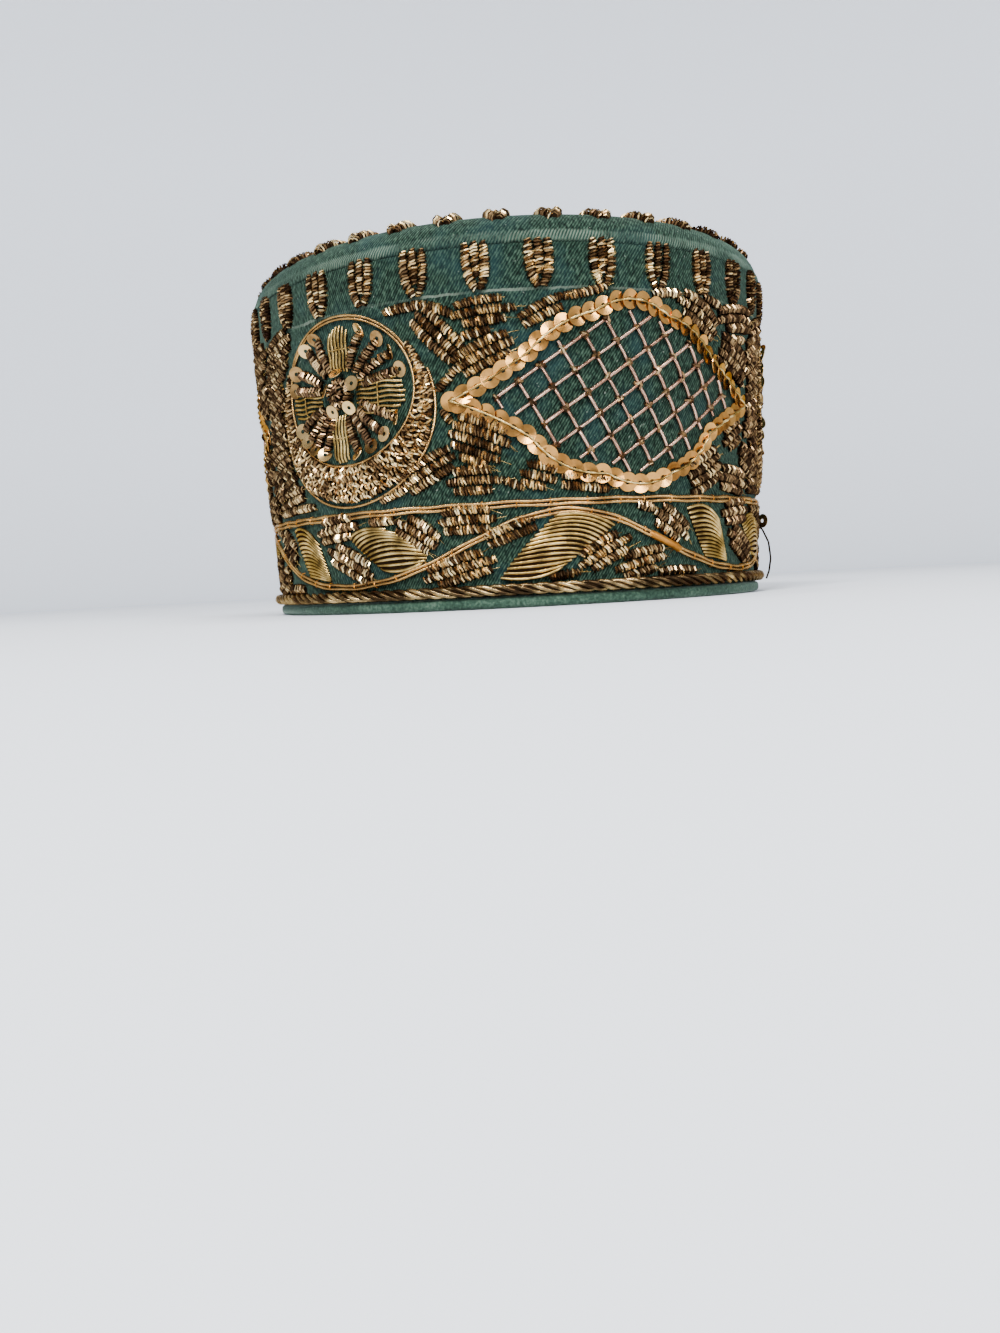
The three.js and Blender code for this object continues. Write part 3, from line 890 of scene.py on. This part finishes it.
def make_frieze_cords():
    ties, worn = Sewn(), Threads()
    make_couched_cord("guard_thread", "guard_cord", guard_height, ties)
    make_couched_cord("vine_thread", "vine_cord", vine_height, ties)
    sewn_piece("couching_ties", ties, COIL_TREE, ORANGE_SILK, "laid_gold", 3, (0.1, 0.3, 0.1),
               Width=2.5, Rise=1.25, Wire=0.2)
    along = np.linspace(*VINE_WORN, 9)
    worn.sew(wall, np.stack([along, vine_height(along)], axis=1), VINE_CORE_RADIUS, VINE_CORE_LIFT, dive=0.7)
    thread_piece("vine_worn_core", worn, ORANGE_SILK, "laid_gold", 8)


# Bullion leaves: start along and height, end along and height, strands, bow
MAIN_SPRAYS = (
    (-34, 78.6, -23.5, 66.8, 3, 0),
    (-24.5, 76.8, -8, 78, 3, 0.4),
    (-30.5, 80.4, -24.5, 77.6, 1, 0),
    (-25.5, 62.6, -9, 69.6, 3, 0.5),
    (-22.5, 71.3, -15, 72.9, 1, 0),
    (-7, 74, 5, 79.6, 2, 0.3),
    (4, 80.4, 15.5, 82.8, 1, -0.4),
    (-43.5, 80, -31, 80.7, 1, 0.3),
    (-29.5, 58.5, -25.5, 62, 1, 0),
    (-27.5, 48.4, -11, 41.6, 4, 0.5),
    (-28.5, 53, -26.5, 50, 1, 0),
    (-49, 30.9, -41, 33.4, 1, 0),
    (-43, 33.2, -26, 41.2, 3, 0.4),
    (-28.5, 34, -13.8, 34, 3, 0.4),
    (-24.5, 40.8, -17.2, 38, 1, 0),
    (-13, 33.9, -8, 31.8, 1, 0),
    (-8.5, 35.6, 0.5, 33.2, 3, 0.3),
    (1, 33.2, 16, 31.4, 2, 0.3),
    (30, 81.6, 39, 82.3, 1, 0.3),
    (38.5, 81, 54.5, 73.2, 3, 1.0),
    (49.5, 82.6, 57, 80.9, 1, 0),
    (56, 77, 79, 79.8, 3, 0.8),
    (62, 72.6, 72.5, 73.6, 1, 0),
    (55.5, 70.2, 75, 63.4, 4, 0.8),
    (41, 32, 58, 39.4, 4, -0.5),
    (54.5, 34, 75.5, 32, 3, 0.3),
    (59.5, 43, 70.8, 48.6, 3, 0.3),
    (70, 42, 83, 36.4, 3, 0.3),
    (80, 76, 98, 80.5, 3, 0.5),
    (76, 70.2, 95, 76, 3, 0.4),
    (75.5, 65, 92, 71, 3, 0.4),
    (77, 60, 91, 65.2, 3, 0.3),
    (75, 55.6, 89.5, 59.6, 2, 0.3),
    (75, 51.4, 89.5, 54.6, 2, 0.3),
    (73, 47.8, 90, 50, 2, 0.3),
    (79, 43.2, 91, 45.8, 2, 0.3),
    (84, 38.4, 94, 41.4, 3, 0.2),
    (77, 34, 98, 35.8, 2, 0.3),
    (78, 30.8, 103, 31.4, 1, 0.2),
)
FRIEZE_SPRAYS = (
    (-72.5, 18.2, -55, 10.2, 3, 0.6),
    (-77, 23.4, -59, 24.8, 3, 0.3),
    (-54, 25.3, -45.5, 25.3, 1, 0),
    (-44.5, 24.9, -33, 17.4, 3, 0.4),
    (-31.5, 23.7, -16, 24, 3, 0.3),
    (-19.5, 17.6, -5, 22.6, 2, 0.3),
    (-37, 8.6, -16.5, 13.4, 3, 0.3),
    (-2, 7.8, 6, 8.8, 1, 0),
    (6.5, 10, 21.5, 17.6, 3, 0.4),
    (17, 8.8, 33, 12, 3, 0.3),
    (24, 26.2, 29, 25.2, 1, 0),
    (29.5, 24.4, 41.5, 17, 3, 0.4),
    (31, 7.7, 45, 7.8, 1, 0.3),
)
STRAND_SPACING = 2.65
STRAND_END_STAGGER = 0.18
STRAND_CLOSING = 0.16
STRAND_SIZES = (0.94, 1.1)


def leaf_paths(start, end, strands, bow):
    spine = bent_line(start, end, bow, 25)
    run = np.gradient(spine, axis=0)
    aside = np.stack([-run[:, 1], run[:, 0]], axis=1) / np.linalg.norm(run, axis=1, keepdims=True)
    share = np.linspace(0, 1, len(spine))
    for strand in range(strands):
        place = strand - (strands - 1) / 2
        first, last = draw.uniform(0, STRAND_END_STAGGER, 2) * min(1, abs(place))
        kept = (share >= first) & (share <= 1 - last)
        spacing = STRAND_SPACING * (1 - STRAND_CLOSING * np.abs(2 * share - 1) ** 3)
        yield (spine + aside * place * spacing[:, None])[kept]


# Bare ends of the strands' wire standing out past a leaf
FRAY_SPREAD = 0.35
FRAY_LENGTHS = (1.2, 3.6)
FRAY_LIFTS = (0.5, 1.6)
FRAY_RADIUS = 0.1


def fray(frays, path):
    ahead = unit(path[-1] - path[-2])
    for end in range(draw.integers(0, 3)):
        stray = ahead + draw.uniform(-FRAY_SPREAD, FRAY_SPREAD, 2)
        line = path[-1] + np.outer((0, 0.5, 1), stray * draw.uniform(*FRAY_LENGTHS))
        frays.add(raised(wall, line, (0.8, 1.0, draw.uniform(*FRAY_LIFTS))), FRAY_RADIUS)


def sew_sprays(coils, frays, rows, offset):
    for from_along, from_height, to_along, to_height, strands, bow in rows:
        start = (from_along + offset, from_height)
        end = (to_along + offset, to_height)
        for path in leaf_paths(start, end, strands, bow):
            coils.wind(wall, path, draw.uniform(*STRAND_SIZES), taper=0.2)
            fray(frays, path)


def make_sprays():
    frays = Threads()
    for repeat, offset in enumerate(repeats(MOTIF_REPEATS)):
        coils = Coils()
        sew_sprays(coils, frays, MAIN_SPRAYS, offset)
        coil_piece(f"spray_coils_{repeat + 1}", coils, BULLION, 20 + repeat)
    coils = Coils()
    for offset in repeats(FRIEZE_REPEATS):
        sew_sprays(coils, frays, FRIEZE_SPRAYS, offset)
    coil_piece("frieze_coils", coils, BULLION, 30)
    thread_piece("frayed_ends", frays, LAID_GOLD, "bullion", 3)


# Tongues: two strands closing to a point and one between them
TONGUE_STRANDS = (
    ((-2.5, 12.4), (-2.6, 8.0), (-2.2, 4.0), (-0.7, 0.6)),
    ((2.5, 12.4), (2.6, 8.0), (2.2, 4.0), (0.7, 0.6)),
    ((0.0, 12.6), (0.0, 8.0), (0.0, 3.8)),
)
TONGUE_START = -1
TONGUE_STRETCH = 0.98
TONGUE_SCATTER = 0.4
TONGUE_WIDTHS = (0.92, 1.12)
TONGUE_LEAN = 0.05
TONGUE_SIZES = (0.92, 1.1)
CROWN_TONGUE_START = 3
CROWN_TONGUE_FOOT = 6
CROWN_TONGUE_STRETCH = 0.95


def sew_tongues(coils, surface, count, start, foot, stretch):
    for offset in repeats(count):
        at = start + offset + draw.uniform(-TONGUE_SCATTER, TONGUE_SCATTER)
        wide = draw.uniform(*TONGUE_WIDTHS)
        lean = draw.uniform(-TONGUE_LEAN, TONGUE_LEAN)
        for strand in TONGUE_STRANDS:
            path = np.array([(at + x * wide + lean * y, foot + y * stretch) for x, y in strand])
            coils.wind(surface, path, draw.uniform(*TONGUE_SIZES), taper=0.3)


def make_tongues():
    coils = Coils()
    sew_tongues(coils, wall, TONGUE_COUNT, TONGUE_START, CHALK_LINE_HEIGHT, TONGUE_STRETCH)
    piece = coil_piece("tongue_coils", coils, BULLION, 41)
    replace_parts(piece, *(f"tongue_{k + 1:02d}" for k in range(TONGUE_COUNT)))
    coils = Coils()
    sew_tongues(coils, crown, CROWN_TONGUE_COUNT, CROWN_TONGUE_START, CROWN_TONGUE_FOOT, CROWN_TONGUE_STRETCH)
    coil_piece("crown_coils", coils, BULLION, 42, Width=2.7, Rise=1.75)


# Roundel: a flower of threads, coils and spangles inside a corded oval, with a crescent below
ROUNDEL_CENTRE = np.array([-60.5, 61.2])
FIELD_HALF_SIZE = np.array([24.6, 19.8])
RING_RADIUS = 0.36
RING_LIFT = 0.65
RING_GAP = 0.85
SECOND_RING_SPAN = (22, 165)
CRESCENT_HALF_SIZE = np.array([30.2, 25.8])
CRESCENT_DROP = 5.4
CRESCENT_SPAN = (-205, 28, 130)
CRESCENT_INNER_GAP = 1.5
CRESCENT_OUTER_GAP = 1.1
CRESCENT_PITCH = 0.85
CRESCENT_ROW_SPACING = 1.85
CRESCENT_SIZES = (0.95, 1.1)
CRESCENT_EDGE_SPAN = (-200, 20, 90)
CRESCENT_EDGE_LIFT = 0.55
FLOWER_ARMS = (
    # direction in degrees, offset to its left, first reach, last reach, threads
    (-2, -1.4, 5.5, 21.5, 8),
    (89, 0, 5.5, 18, 6),
    (178, 1.8, 8, 23.5, 6),
    (270, -1.8, 5.5, 18.5, 5),
)
ARM_RADIUS = 0.4
ARM_LIFT = 0.75
ARM_WAVER = 0.2
ARM_WAVES = 1.7
ARM_SPACING = 1.15
ARM_OPENING = 0.56
ARM_CLOSING = 0.44
ARM_ROUNDING = 0.2
ARM_TIP_SCATTER = 0.5
ARM_FOOT_SCATTER = 0.8
ARM_TIE_RADIUS = 0.2
ARM_TIE_LIFT = 1.2
ARM_TIE_REACH = 0.55
PETAL_ANGLES = (13, 30, 47, 65, 113, 128, 152, 168, 208, 221, 233, 246, 283, 297, 313, 330)
PETAL_REACH = (0.36, 0.83)
PETAL_BOW = 0.6
PETAL_SPANGLE_REACH = 0.87
PETAL_SPANGLE_LIFTS = (1.0, 1.5)
HEART_SPANGLES = 5
HEART_SPANGLE_REACH = 5.6
HEART_SPANGLE_SIZE = 0.95
HEART_SPANGLE_LIFT = 1.7
HEART_RINGS = (
    # half size, degrees, points, lift
    ((3.4, 3.2), 350, 24, 0.9),
    ((1.2, 1.2), 340, 12, 1.6),
)
ROUNDEL_SPANGLE_LEAN = (-0.55, 0.0, 0.0)


def crescent_rows(centre):
    inner = ellipse_arc(centre, FIELD_HALF_SIZE + CRESCENT_INNER_GAP, *CRESCENT_SPAN)
    outer = ellipse_arc(centre - (0, CRESCENT_DROP), CRESCENT_HALF_SIZE - CRESCENT_OUTER_GAP, *CRESCENT_SPAN)
    breadth = np.linalg.norm(outer - inner, axis=1)
    inside = np.sum((outer - inner) * (inner - centre), axis=1) > 0
    for row in range(int(breadth.max() / CRESCENT_ROW_SPACING) + 1):
        reach = row * CRESCENT_ROW_SPACING
        kept = inside & (breadth >= reach - 0.4)
        if kept.sum() > 4:
            share = (reach / np.maximum(breadth, 0.1))[:, None]
            yield (inner + (outer - inner) * np.minimum(share, 1))[kept]


def flower_arm(threads, centre, direction, offset, first, last, count):
    ahead = ray_at(direction)
    aside = np.array([-ahead[1], ahead[0]])
    centre = centre + aside * offset
    share = np.linspace(0, 1, 13)
    for k in range(count):
        place = k - (count - 1) / 2
        end = last - ARM_ROUNDING * place ** 2 + draw.uniform(-ARM_TIP_SCATTER, ARM_TIP_SCATTER)
        start = first + draw.uniform(0, ARM_FOOT_SCATTER)
        spread = place * (ARM_SPACING + ARM_OPENING * share - ARM_CLOSING * share ** 2)
        waver = ARM_WAVER * np.sin(ARM_WAVES * 2 * np.pi * share + draw.uniform(0, 1.5))
        line = centre + np.outer(start + (end - start) * share, ahead) + np.outer(spread + waver, aside)
        threads.sew(wall, line, ARM_RADIUS, ARM_LIFT, dive=0.6)
    tie = centre + ahead * (first + last) / 2
    half_tie = aside * count * ARM_TIE_REACH
    threads.sew(wall, np.array([tie - half_tie, tie + half_tie]), ARM_TIE_RADIUS, ARM_TIE_LIFT, dive=0.8)


def make_roundels():
    chips, petals, heart = Coils(), Coils(), Coils()
    spangles, threads, cords = Sewn(), Threads(), Threads()
    for offset in repeats(MOTIF_REPEATS):
        centre = ROUNDEL_CENTRE + (offset, 0)
        for row in crescent_rows(centre):
            chips.wind(wall, row, draw.uniform(*CRESCENT_SIZES), taper=0.25, pitch=CRESCENT_PITCH)
        ring = ellipse_arc(centre, FIELD_HALF_SIZE, 0, 360, 120)
        cords.sew(wall, ring, RING_RADIUS, RING_LIFT, closed=True)
        half_ring = ellipse_arc(centre, FIELD_HALF_SIZE + RING_GAP, *SECOND_RING_SPAN)
        cords.sew(wall, half_ring, RING_RADIUS, RING_LIFT, dive=0.4)
        crescent_edge = ellipse_arc(centre - (0, CRESCENT_DROP), CRESCENT_HALF_SIZE, *CRESCENT_EDGE_SPAN)
        cords.sew(wall, crescent_edge, RING_RADIUS, CRESCENT_EDGE_LIFT, dive=0.4)
        for arm in FLOWER_ARMS:
            flower_arm(threads, centre, *arm)
        for angle in PETAL_ANGLES:
            ray = ray_at(angle) * FIELD_HALF_SIZE
            near, far = (centre + ray * reach for reach in PETAL_REACH)
            petals.wind(wall, bent_line(near, far, draw.uniform(-PETAL_BOW, PETAL_BOW)), taper=0.15)
            lift = draw.uniform(*PETAL_SPANGLE_LIFTS)
            spangles.at(wall, centre + ray * PETAL_SPANGLE_REACH, ray, lift=lift)
        for k in range(HEART_SPANGLES):
            ray = ray_at(360 * (k + 0.3) / HEART_SPANGLES)
            place = centre + ray * HEART_SPANGLE_REACH
            spangles.at(wall, place, -ray, HEART_SPANGLE_SIZE, HEART_SPANGLE_LIFT)
        for half_size, degrees, points, lift in HEART_RINGS:
            heart.wind(wall, ellipse_arc(centre, half_size, 0, degrees, points), lift=lift)
    piece = coil_piece("crescent_chips", chips, PALE_BULLION, 51, (0.35, 0.7, 0.3),
                       Width=2.6, Rise=1.9, Wire=0.37)
    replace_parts(piece, *(f"roundel_{k + 1}" for k in range(MOTIF_REPEATS)))
    coil_piece("petal_coils", petals, DARK_BULLION, 52, Width=3.0, Rise=1.9)
    coil_piece("heart_coils", heart, DARK_BULLION, 53, (0.3, 0.4, 0.2), Width=2.4, Rise=1.9)
    sewn_piece("roundel_spangles", spangles, SPANGLE_TREE, PALE_SPANGLE, "spangle", 54, (0.3, 0.1, 0.3),
               ROUNDEL_SPANGLE_LEAN, Diameter=ROUNDEL_SPANGLE)
    thread_piece("roundel_threads", threads, LAID_GOLD, "laid_gold")
    thread_piece("roundel_cords", cords, COUCHED_GOLD, "laid_gold")


# Lozenge: a lobed chain of overlapping spangles round a trellis of tied wires
LOZENGE_CUSPS = (
    # along, height, bulge of the lobe that follows
    (-26, 55.2, -0.6),
    (-5.5, 66.2, 1.6),
    (12.5, 76.6, 3.4),
    (34, 76.2, 1.6),
    (50.5, 67, -0.4),
    (72, 54.8, -0.4),
    (50.5, 45.6, 1.8),
    (35.5, 34.8, 3.0),
    (14.5, 34.6, 3.0),
    (-5.5, 44.6, -0.8),
)
SPANGLE_STEP = 3.9
SPANGLE_LIFT = 0.95
SPANGLE_LEAN = (0.14, 0.0, 0.0)
CHAIN_THREAD_RADIUS = 0.36
CHAIN_THREAD_LIFT = 1.55
CHAIN_THREAD_WAVE = 0.3
TRELLIS_ORIGIN = np.array([3.7, 66.8])
TRELLIS_RISE = np.array([5.9, 3.85])
TRELLIS_FALL = np.array([3.1, -5.55])
TRELLIS_MARGIN = 2.9
TRELLIS_REACH = 14
TRELLIS_WIRE_RADIUS = 0.46
TRELLIS_WIRE_SIZES = (0.9, 1.15)
TRELLIS_WIRE_LIFT = 0.5
TRELLIS_WIRE_ARCH = 0.35
KNOT_TURNS = (0.3, 1.0, 1.8, 2.5)
KNOT_SCATTER = 0.35
KNOT_SIZES = (0.75, 1.25)


def lozenge_outline():
    lobes = []
    for cusp, following in zip(LOZENGE_CUSPS, LOZENGE_CUSPS[1:] + LOZENGE_CUSPS[:1]):
        lobes.append(bent_line(cusp[:2], following[:2], cusp[2], 12)[:-1])
    outline = np.concatenate(lobes)
    return np.concatenate([outline, outline[:1]])


def inside_outline(points, outline):
    x, y = points[:, :1], points[:, 1:]
    x0, y0 = outline[:-1].T
    x1, y1 = outline[1:].T
    spans = (y0 > y) != (y1 > y)
    rise = np.where(y1 == y0, 1e-9, y1 - y0)
    crossed = spans & (x < (x1 - x0) * (y - y0) / rise + x0)
    nearest = np.min(np.hypot(x - x0, y - y0), axis=1)
    return (crossed.sum(axis=1) % 2 == 1) & (nearest > TRELLIS_MARGIN)


def trellis_crossings():
    steps = range(-TRELLIS_REACH, TRELLIS_REACH + 1)
    places = [TRELLIS_ORIGIN + rise * TRELLIS_RISE + fall * TRELLIS_FALL for rise in steps for fall in steps]
    return np.array(places)


# Wires from knot to knot of the trellis, those at its edge cut short
def trellis_wires(outline):
    share = np.linspace(0.07, 0.93, 9)
    for crossing in trellis_crossings():
        for step in (TRELLIS_RISE, TRELLIS_FALL):
            line = crossing + np.outer(share, step)
            kept = inside_outline(line, outline)
            if kept.sum() > 3:
                yield line[kept], share[kept]


def make_lozenges():
    spangles, knots, thread, wires = Sewn(), Sewn(), Threads(), Threads()
    outline = lozenge_outline()
    crossings = trellis_crossings()
    crossings = crossings[inside_outline(crossings, outline)]
    for offset in repeats(MOTIF_REPEATS):
        shift = (offset, 0)
        spangles.along(wall, outline[:-1] + shift, SPANGLE_STEP, lift=SPANGLE_LIFT)
        chain = even_points(outline + shift, SPANGLE_STEP / 4)
        stitch = CHAIN_THREAD_LIFT + CHAIN_THREAD_WAVE * np.cos(np.arange(len(chain)) * np.pi / 2)
        thread.add(raised(wall, chain, stitch), CHAIN_THREAD_RADIUS, closed=True)
        for line, share in trellis_wires(outline):
            arch = TRELLIS_WIRE_LIFT + TRELLIS_WIRE_ARCH * np.sin(np.pi * share)
            radius = TRELLIS_WIRE_RADIUS * draw.uniform(*TRELLIS_WIRE_SIZES)
            wires.add(raised(wall, line + shift, arch), radius)
        for crossing in crossings + shift:
            for turn in KNOT_TURNS:
                jitter = draw.uniform(-KNOT_SCATTER, KNOT_SCATTER, 2)
                direction = (math.cos(turn), math.sin(turn))
                knots.at(wall, crossing + jitter, direction, draw.uniform(*KNOT_SIZES))
    piece = sewn_piece("lozenge_spangles", spangles, SPANGLE_TREE, ORANGE_SPANGLE, "spangle", 61,
                       (0.12, 0.1, 0.16), SPANGLE_LEAN, Diameter=LOZENGE_SPANGLE)
    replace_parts(piece, *(f"lozenge_{k + 1}" for k in range(MOTIF_REPEATS)))
    thread_piece("lozenge_thread", thread, LAID_GOLD, "laid_gold")
    thread_piece("trellis_wires", wires, COPPER_WIRE, "spangle")
    sewn_piece("trellis_knots", knots, COIL_TREE, DARK_BULLION, "bullion", 62, (0.3, 0.4, 0.3),
               Width=2.2, Rise=1.45, Wire=0.38)


# Leaves of laid thread: three guide threads each, from start over a bend to an end
LAID_LEAVES = (
    ("under_arch", 14, ((-15.2, 8.2), (-6, 7.9), (1.5, 10.4)), ((-8.5, 16), (2, 17.4), (9.5, 15.8)),
     ((0, 23.9), (8, 24.1), (16.6, 20.9))),
    ("left_of_arch", 11, ((-51.5, 12.4), (-45, 11.6), (-38, 13.3)), ((-57.5, 17), (-48, 19.2), (-37.5, 17.3)),
     ((-62.5, 21.2), (-57, 23.5), (-49, 23.2))),
    ("right_of_arch", 13, ((50, 11.8), (56, 11), (62, 10)), ((46, 17.6), (54, 17.2), (60.5, 13.6)),
     ((42, 24.9), (50, 25.3), (57.5, 20.4))),
)
LEAF_LIFT = 0.85
LEAF_THREAD_SIZES = (0.95, 1.15)
PAD_TOP = 0.45
PAD_FOOT = -0.1


def laid_line(low, middle, high, share):
    weights = (2 * (share - 0.5) * (share - 1), 4 * share * (1 - share), 2 * share * (share - 0.5))
    first, bend, last = weights[0] * low + weights[1] * middle + weights[2] * high
    t = np.linspace(0, 1, 9)[:, None]
    pull = 2 * bend - (first + last) / 2
    return (1 - t) ** 2 * first + 2 * t * (1 - t) * pull + t ** 2 * last


def make_laid_leaves():
    threads, pads = Threads(), []
    for offset in repeats(FRIEZE_REPEATS):
        for name, count, *guides in LAID_LEAVES:
            guides = [np.array(guide) + (offset, 0) for guide in guides]
            lines = np.array([laid_line(*guides, share) for share in np.linspace(0, 1, count)])
            for line in lines:
                radius = LAID_RADIUS * draw.uniform(*LEAF_THREAD_SIZES)
                threads.sew(wall, line, radius, LEAF_LIFT, dive=0.7)
            place, side, up, out = wall(lines[..., 0], lines[..., 1])
            pads.append((place + PAD_TOP * out, place + PAD_FOOT * out))
    piece = thread_piece("laid_leaf_threads", threads, LAID_GOLD, "laid_gold")
    nodes = [f"leaf_{name}_{repeat + 1}" for name, *_ in LAID_LEAVES for repeat in range(FRIEZE_REPEATS)]
    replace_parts(piece, *nodes)
    # The dark pads are painted shade in the gaps between the laid threads
    pad_piece("laid_leaf_pads", pads, DARK_CORE, "laid_gold")


# One sprung wire with a spangle, worked loose at the right: distances along, up and out from its root
STRAY_ROOT = (101.0, 21.0)
STRAY_WIRE = (
    (0, 0, 0.5), (0.6, -1.5, 2.4), (1.6, -5.5, 4.4), (2.6, -10.5, 5.2), (2.8, -14.5, 4.8), (2.0, -17, 4.0),
)
STRAY_RADIUS = 0.32
STRAY_SPANGLE = (0.4, 1.2, 2.4)


def make_stray_wire():
    wire, spangle = Threads(), Sewn()
    place, side, up, out = (part[0] for part in wall([STRAY_ROOT[0]], [STRAY_ROOT[1]]))
    directions = np.array([side, up, out])
    wire.add(even_points(place + np.array(STRAY_WIRE) @ directions, 0.8), STRAY_RADIUS)
    thread_piece("stray_wire", wire, DARK_CORE, "bullion", 5)
    seat = place + np.array(STRAY_SPANGLE) @ directions
    spangle.rows.append((seat[None], up[None], unit(out + side)[None], np.array([1.0])))
    sewn_piece("stray_spangle", spangle, SPANGLE_TREE, PALE_SPANGLE, "spangle", Diameter=ROUNDEL_SPANGLE)


# Stage, lights and camera, in metres
COVE_RADIUS = 1.2
COVE_CURVE = 0.8
COVE_HEIGHT = 1.4
COVE_STEPS = 96
WALL_GLOW = 0.75


# Pale sheet that curves up into a wall, softly lit behind the cap
def sheet_finish():
    finish = Finish("pale_sheet", Base_Color=(0.74, 0.77, 0.82, 1), Roughness=0.85, Specular_IOR_Level=0.1,
                    Emission_Color=(0.84, 0.89, 0.98, 1))
    place = finish.place()
    flat = finish.scaled(place, (1.0, 1.0, 0.0))
    reach = finish.node("ShaderNodeVectorMath", {"operation": "LENGTH"}, vector=flat).outputs["Value"]
    far = finish.share(reach, COVE_RADIUS / 2, COVE_RADIUS)
    behind = finish.share(finish.math("DIVIDE", finish.axes(place)[1], reach), 0.3, 0.5)
    finish.set("Emission Strength", finish.math("MULTIPLY", finish.math("MULTIPLY", far, behind), WALL_GLOW))
    return finish.material


def make_floor():
    rise = [(COVE_RADIUS / 2, 0.0)]
    for angle in np.linspace(0, np.pi / 2, 13):
        rise.append((COVE_RADIUS + COVE_CURVE * math.sin(angle), COVE_CURVE * (1 - math.cos(angle))))
    rise.append((COVE_RADIUS + COVE_CURVE, COVE_HEIGHT))
    turns = [2 * math.pi * k / COVE_STEPS for k in range(COVE_STEPS)]
    places = [(reach * math.cos(turn), reach * math.sin(turn), z) for reach, z in rise for turn in turns]
    places.append((0.0, 0.0, 0.0))
    faces = []
    for k in range(COVE_STEPS):
        ahead = (k + 1) % COVE_STEPS
        faces.append((len(places) - 1, k, ahead))
        for low in range(0, (len(rise) - 1) * COVE_STEPS, COVE_STEPS):
            high = low + COVE_STEPS
            faces.append((low + k, high + k, high + ahead, low + ahead))
    mesh = new_mesh("floor", places, faces=faces, finishes=[sheet_finish()])
    mesh.polygons.foreach_set("use_smooth", [True] * len(faces))
    floor = new_object("floor", mesh)


LIGHTS = (
    # name, place in metres, width, power in watts
    ("key", (-0.42, -0.95, 0.9), 0.35, 30),
    ("fill", (0.5, -1.0, 0.45), 0.35, 11),
    ("top", (0.1, 0.1, 1.3), 0.8, 14),
)
AIM = (0.0, 0.0, 0.05)
ROOM_COLOUR = (0.86, 0.92, 1.0, 1)
ROOM_STRENGTH = 0.22


def make_lights():
    for name, place, width, power in LIGHTS:
        light = bpy.data.lights.new(name, "AREA")
        light.size = width
        light.energy = power
        lamp = new_object(name, light)
        lamp.location = place
        lamp.rotation_euler = (Vector(place) - Vector(AIM)).to_track_quat("Z", "Y").to_euler()
    world = bpy.data.worlds.new("soft_room")
    world.use_nodes = True
    background = world.node_tree.nodes["Background"]
    background.inputs[0].default_value = ROOM_COLOUR
    background.inputs[1].default_value = ROOM_STRENGTH
    bpy.context.scene.world = world


# Camera: place in millimetres, turns in degrees, focal length in pixels of the photograph
IMAGE_HEIGHT = 1333
FOCAL_PIXELS = 1251.6
SENSOR = 36.0
CAMERA_PLACE = (-50.4, -422, 8.0)
CAMERA_YAW = 5.84
CAMERA_DOWN = 4.0
CAMERA_ROLL = 2.96


def make_camera():
    camera = bpy.data.cameras.new("camera")
    camera.lens = SENSOR * FOCAL_PIXELS / IMAGE_HEIGHT
    camera.sensor_width = SENSOR
    camera.clip_start = 0.01
    viewer = new_object("camera", camera)
    turned = Matrix.Rotation(math.radians(-CAMERA_YAW), 4, "Z")
    tilted = Matrix.Rotation(math.radians(90 - CAMERA_DOWN), 4, "X")
    rolled = Matrix.Rotation(math.radians(-CAMERA_ROLL), 4, "Z")
    place = Matrix.Translation([c * MM for c in CAMERA_PLACE])
    viewer.matrix_world = place @ turned @ tilted @ rolled
    bpy.context.scene.camera = viewer


make_camera()
make_floor()
make_lights()
make_wall()
make_crown()
make_binding()
make_rim_cord()
make_frieze_cords()
make_sprays()
make_tongues()
make_roundels()
make_lozenges()
make_laid_leaves()
make_stray_wire()
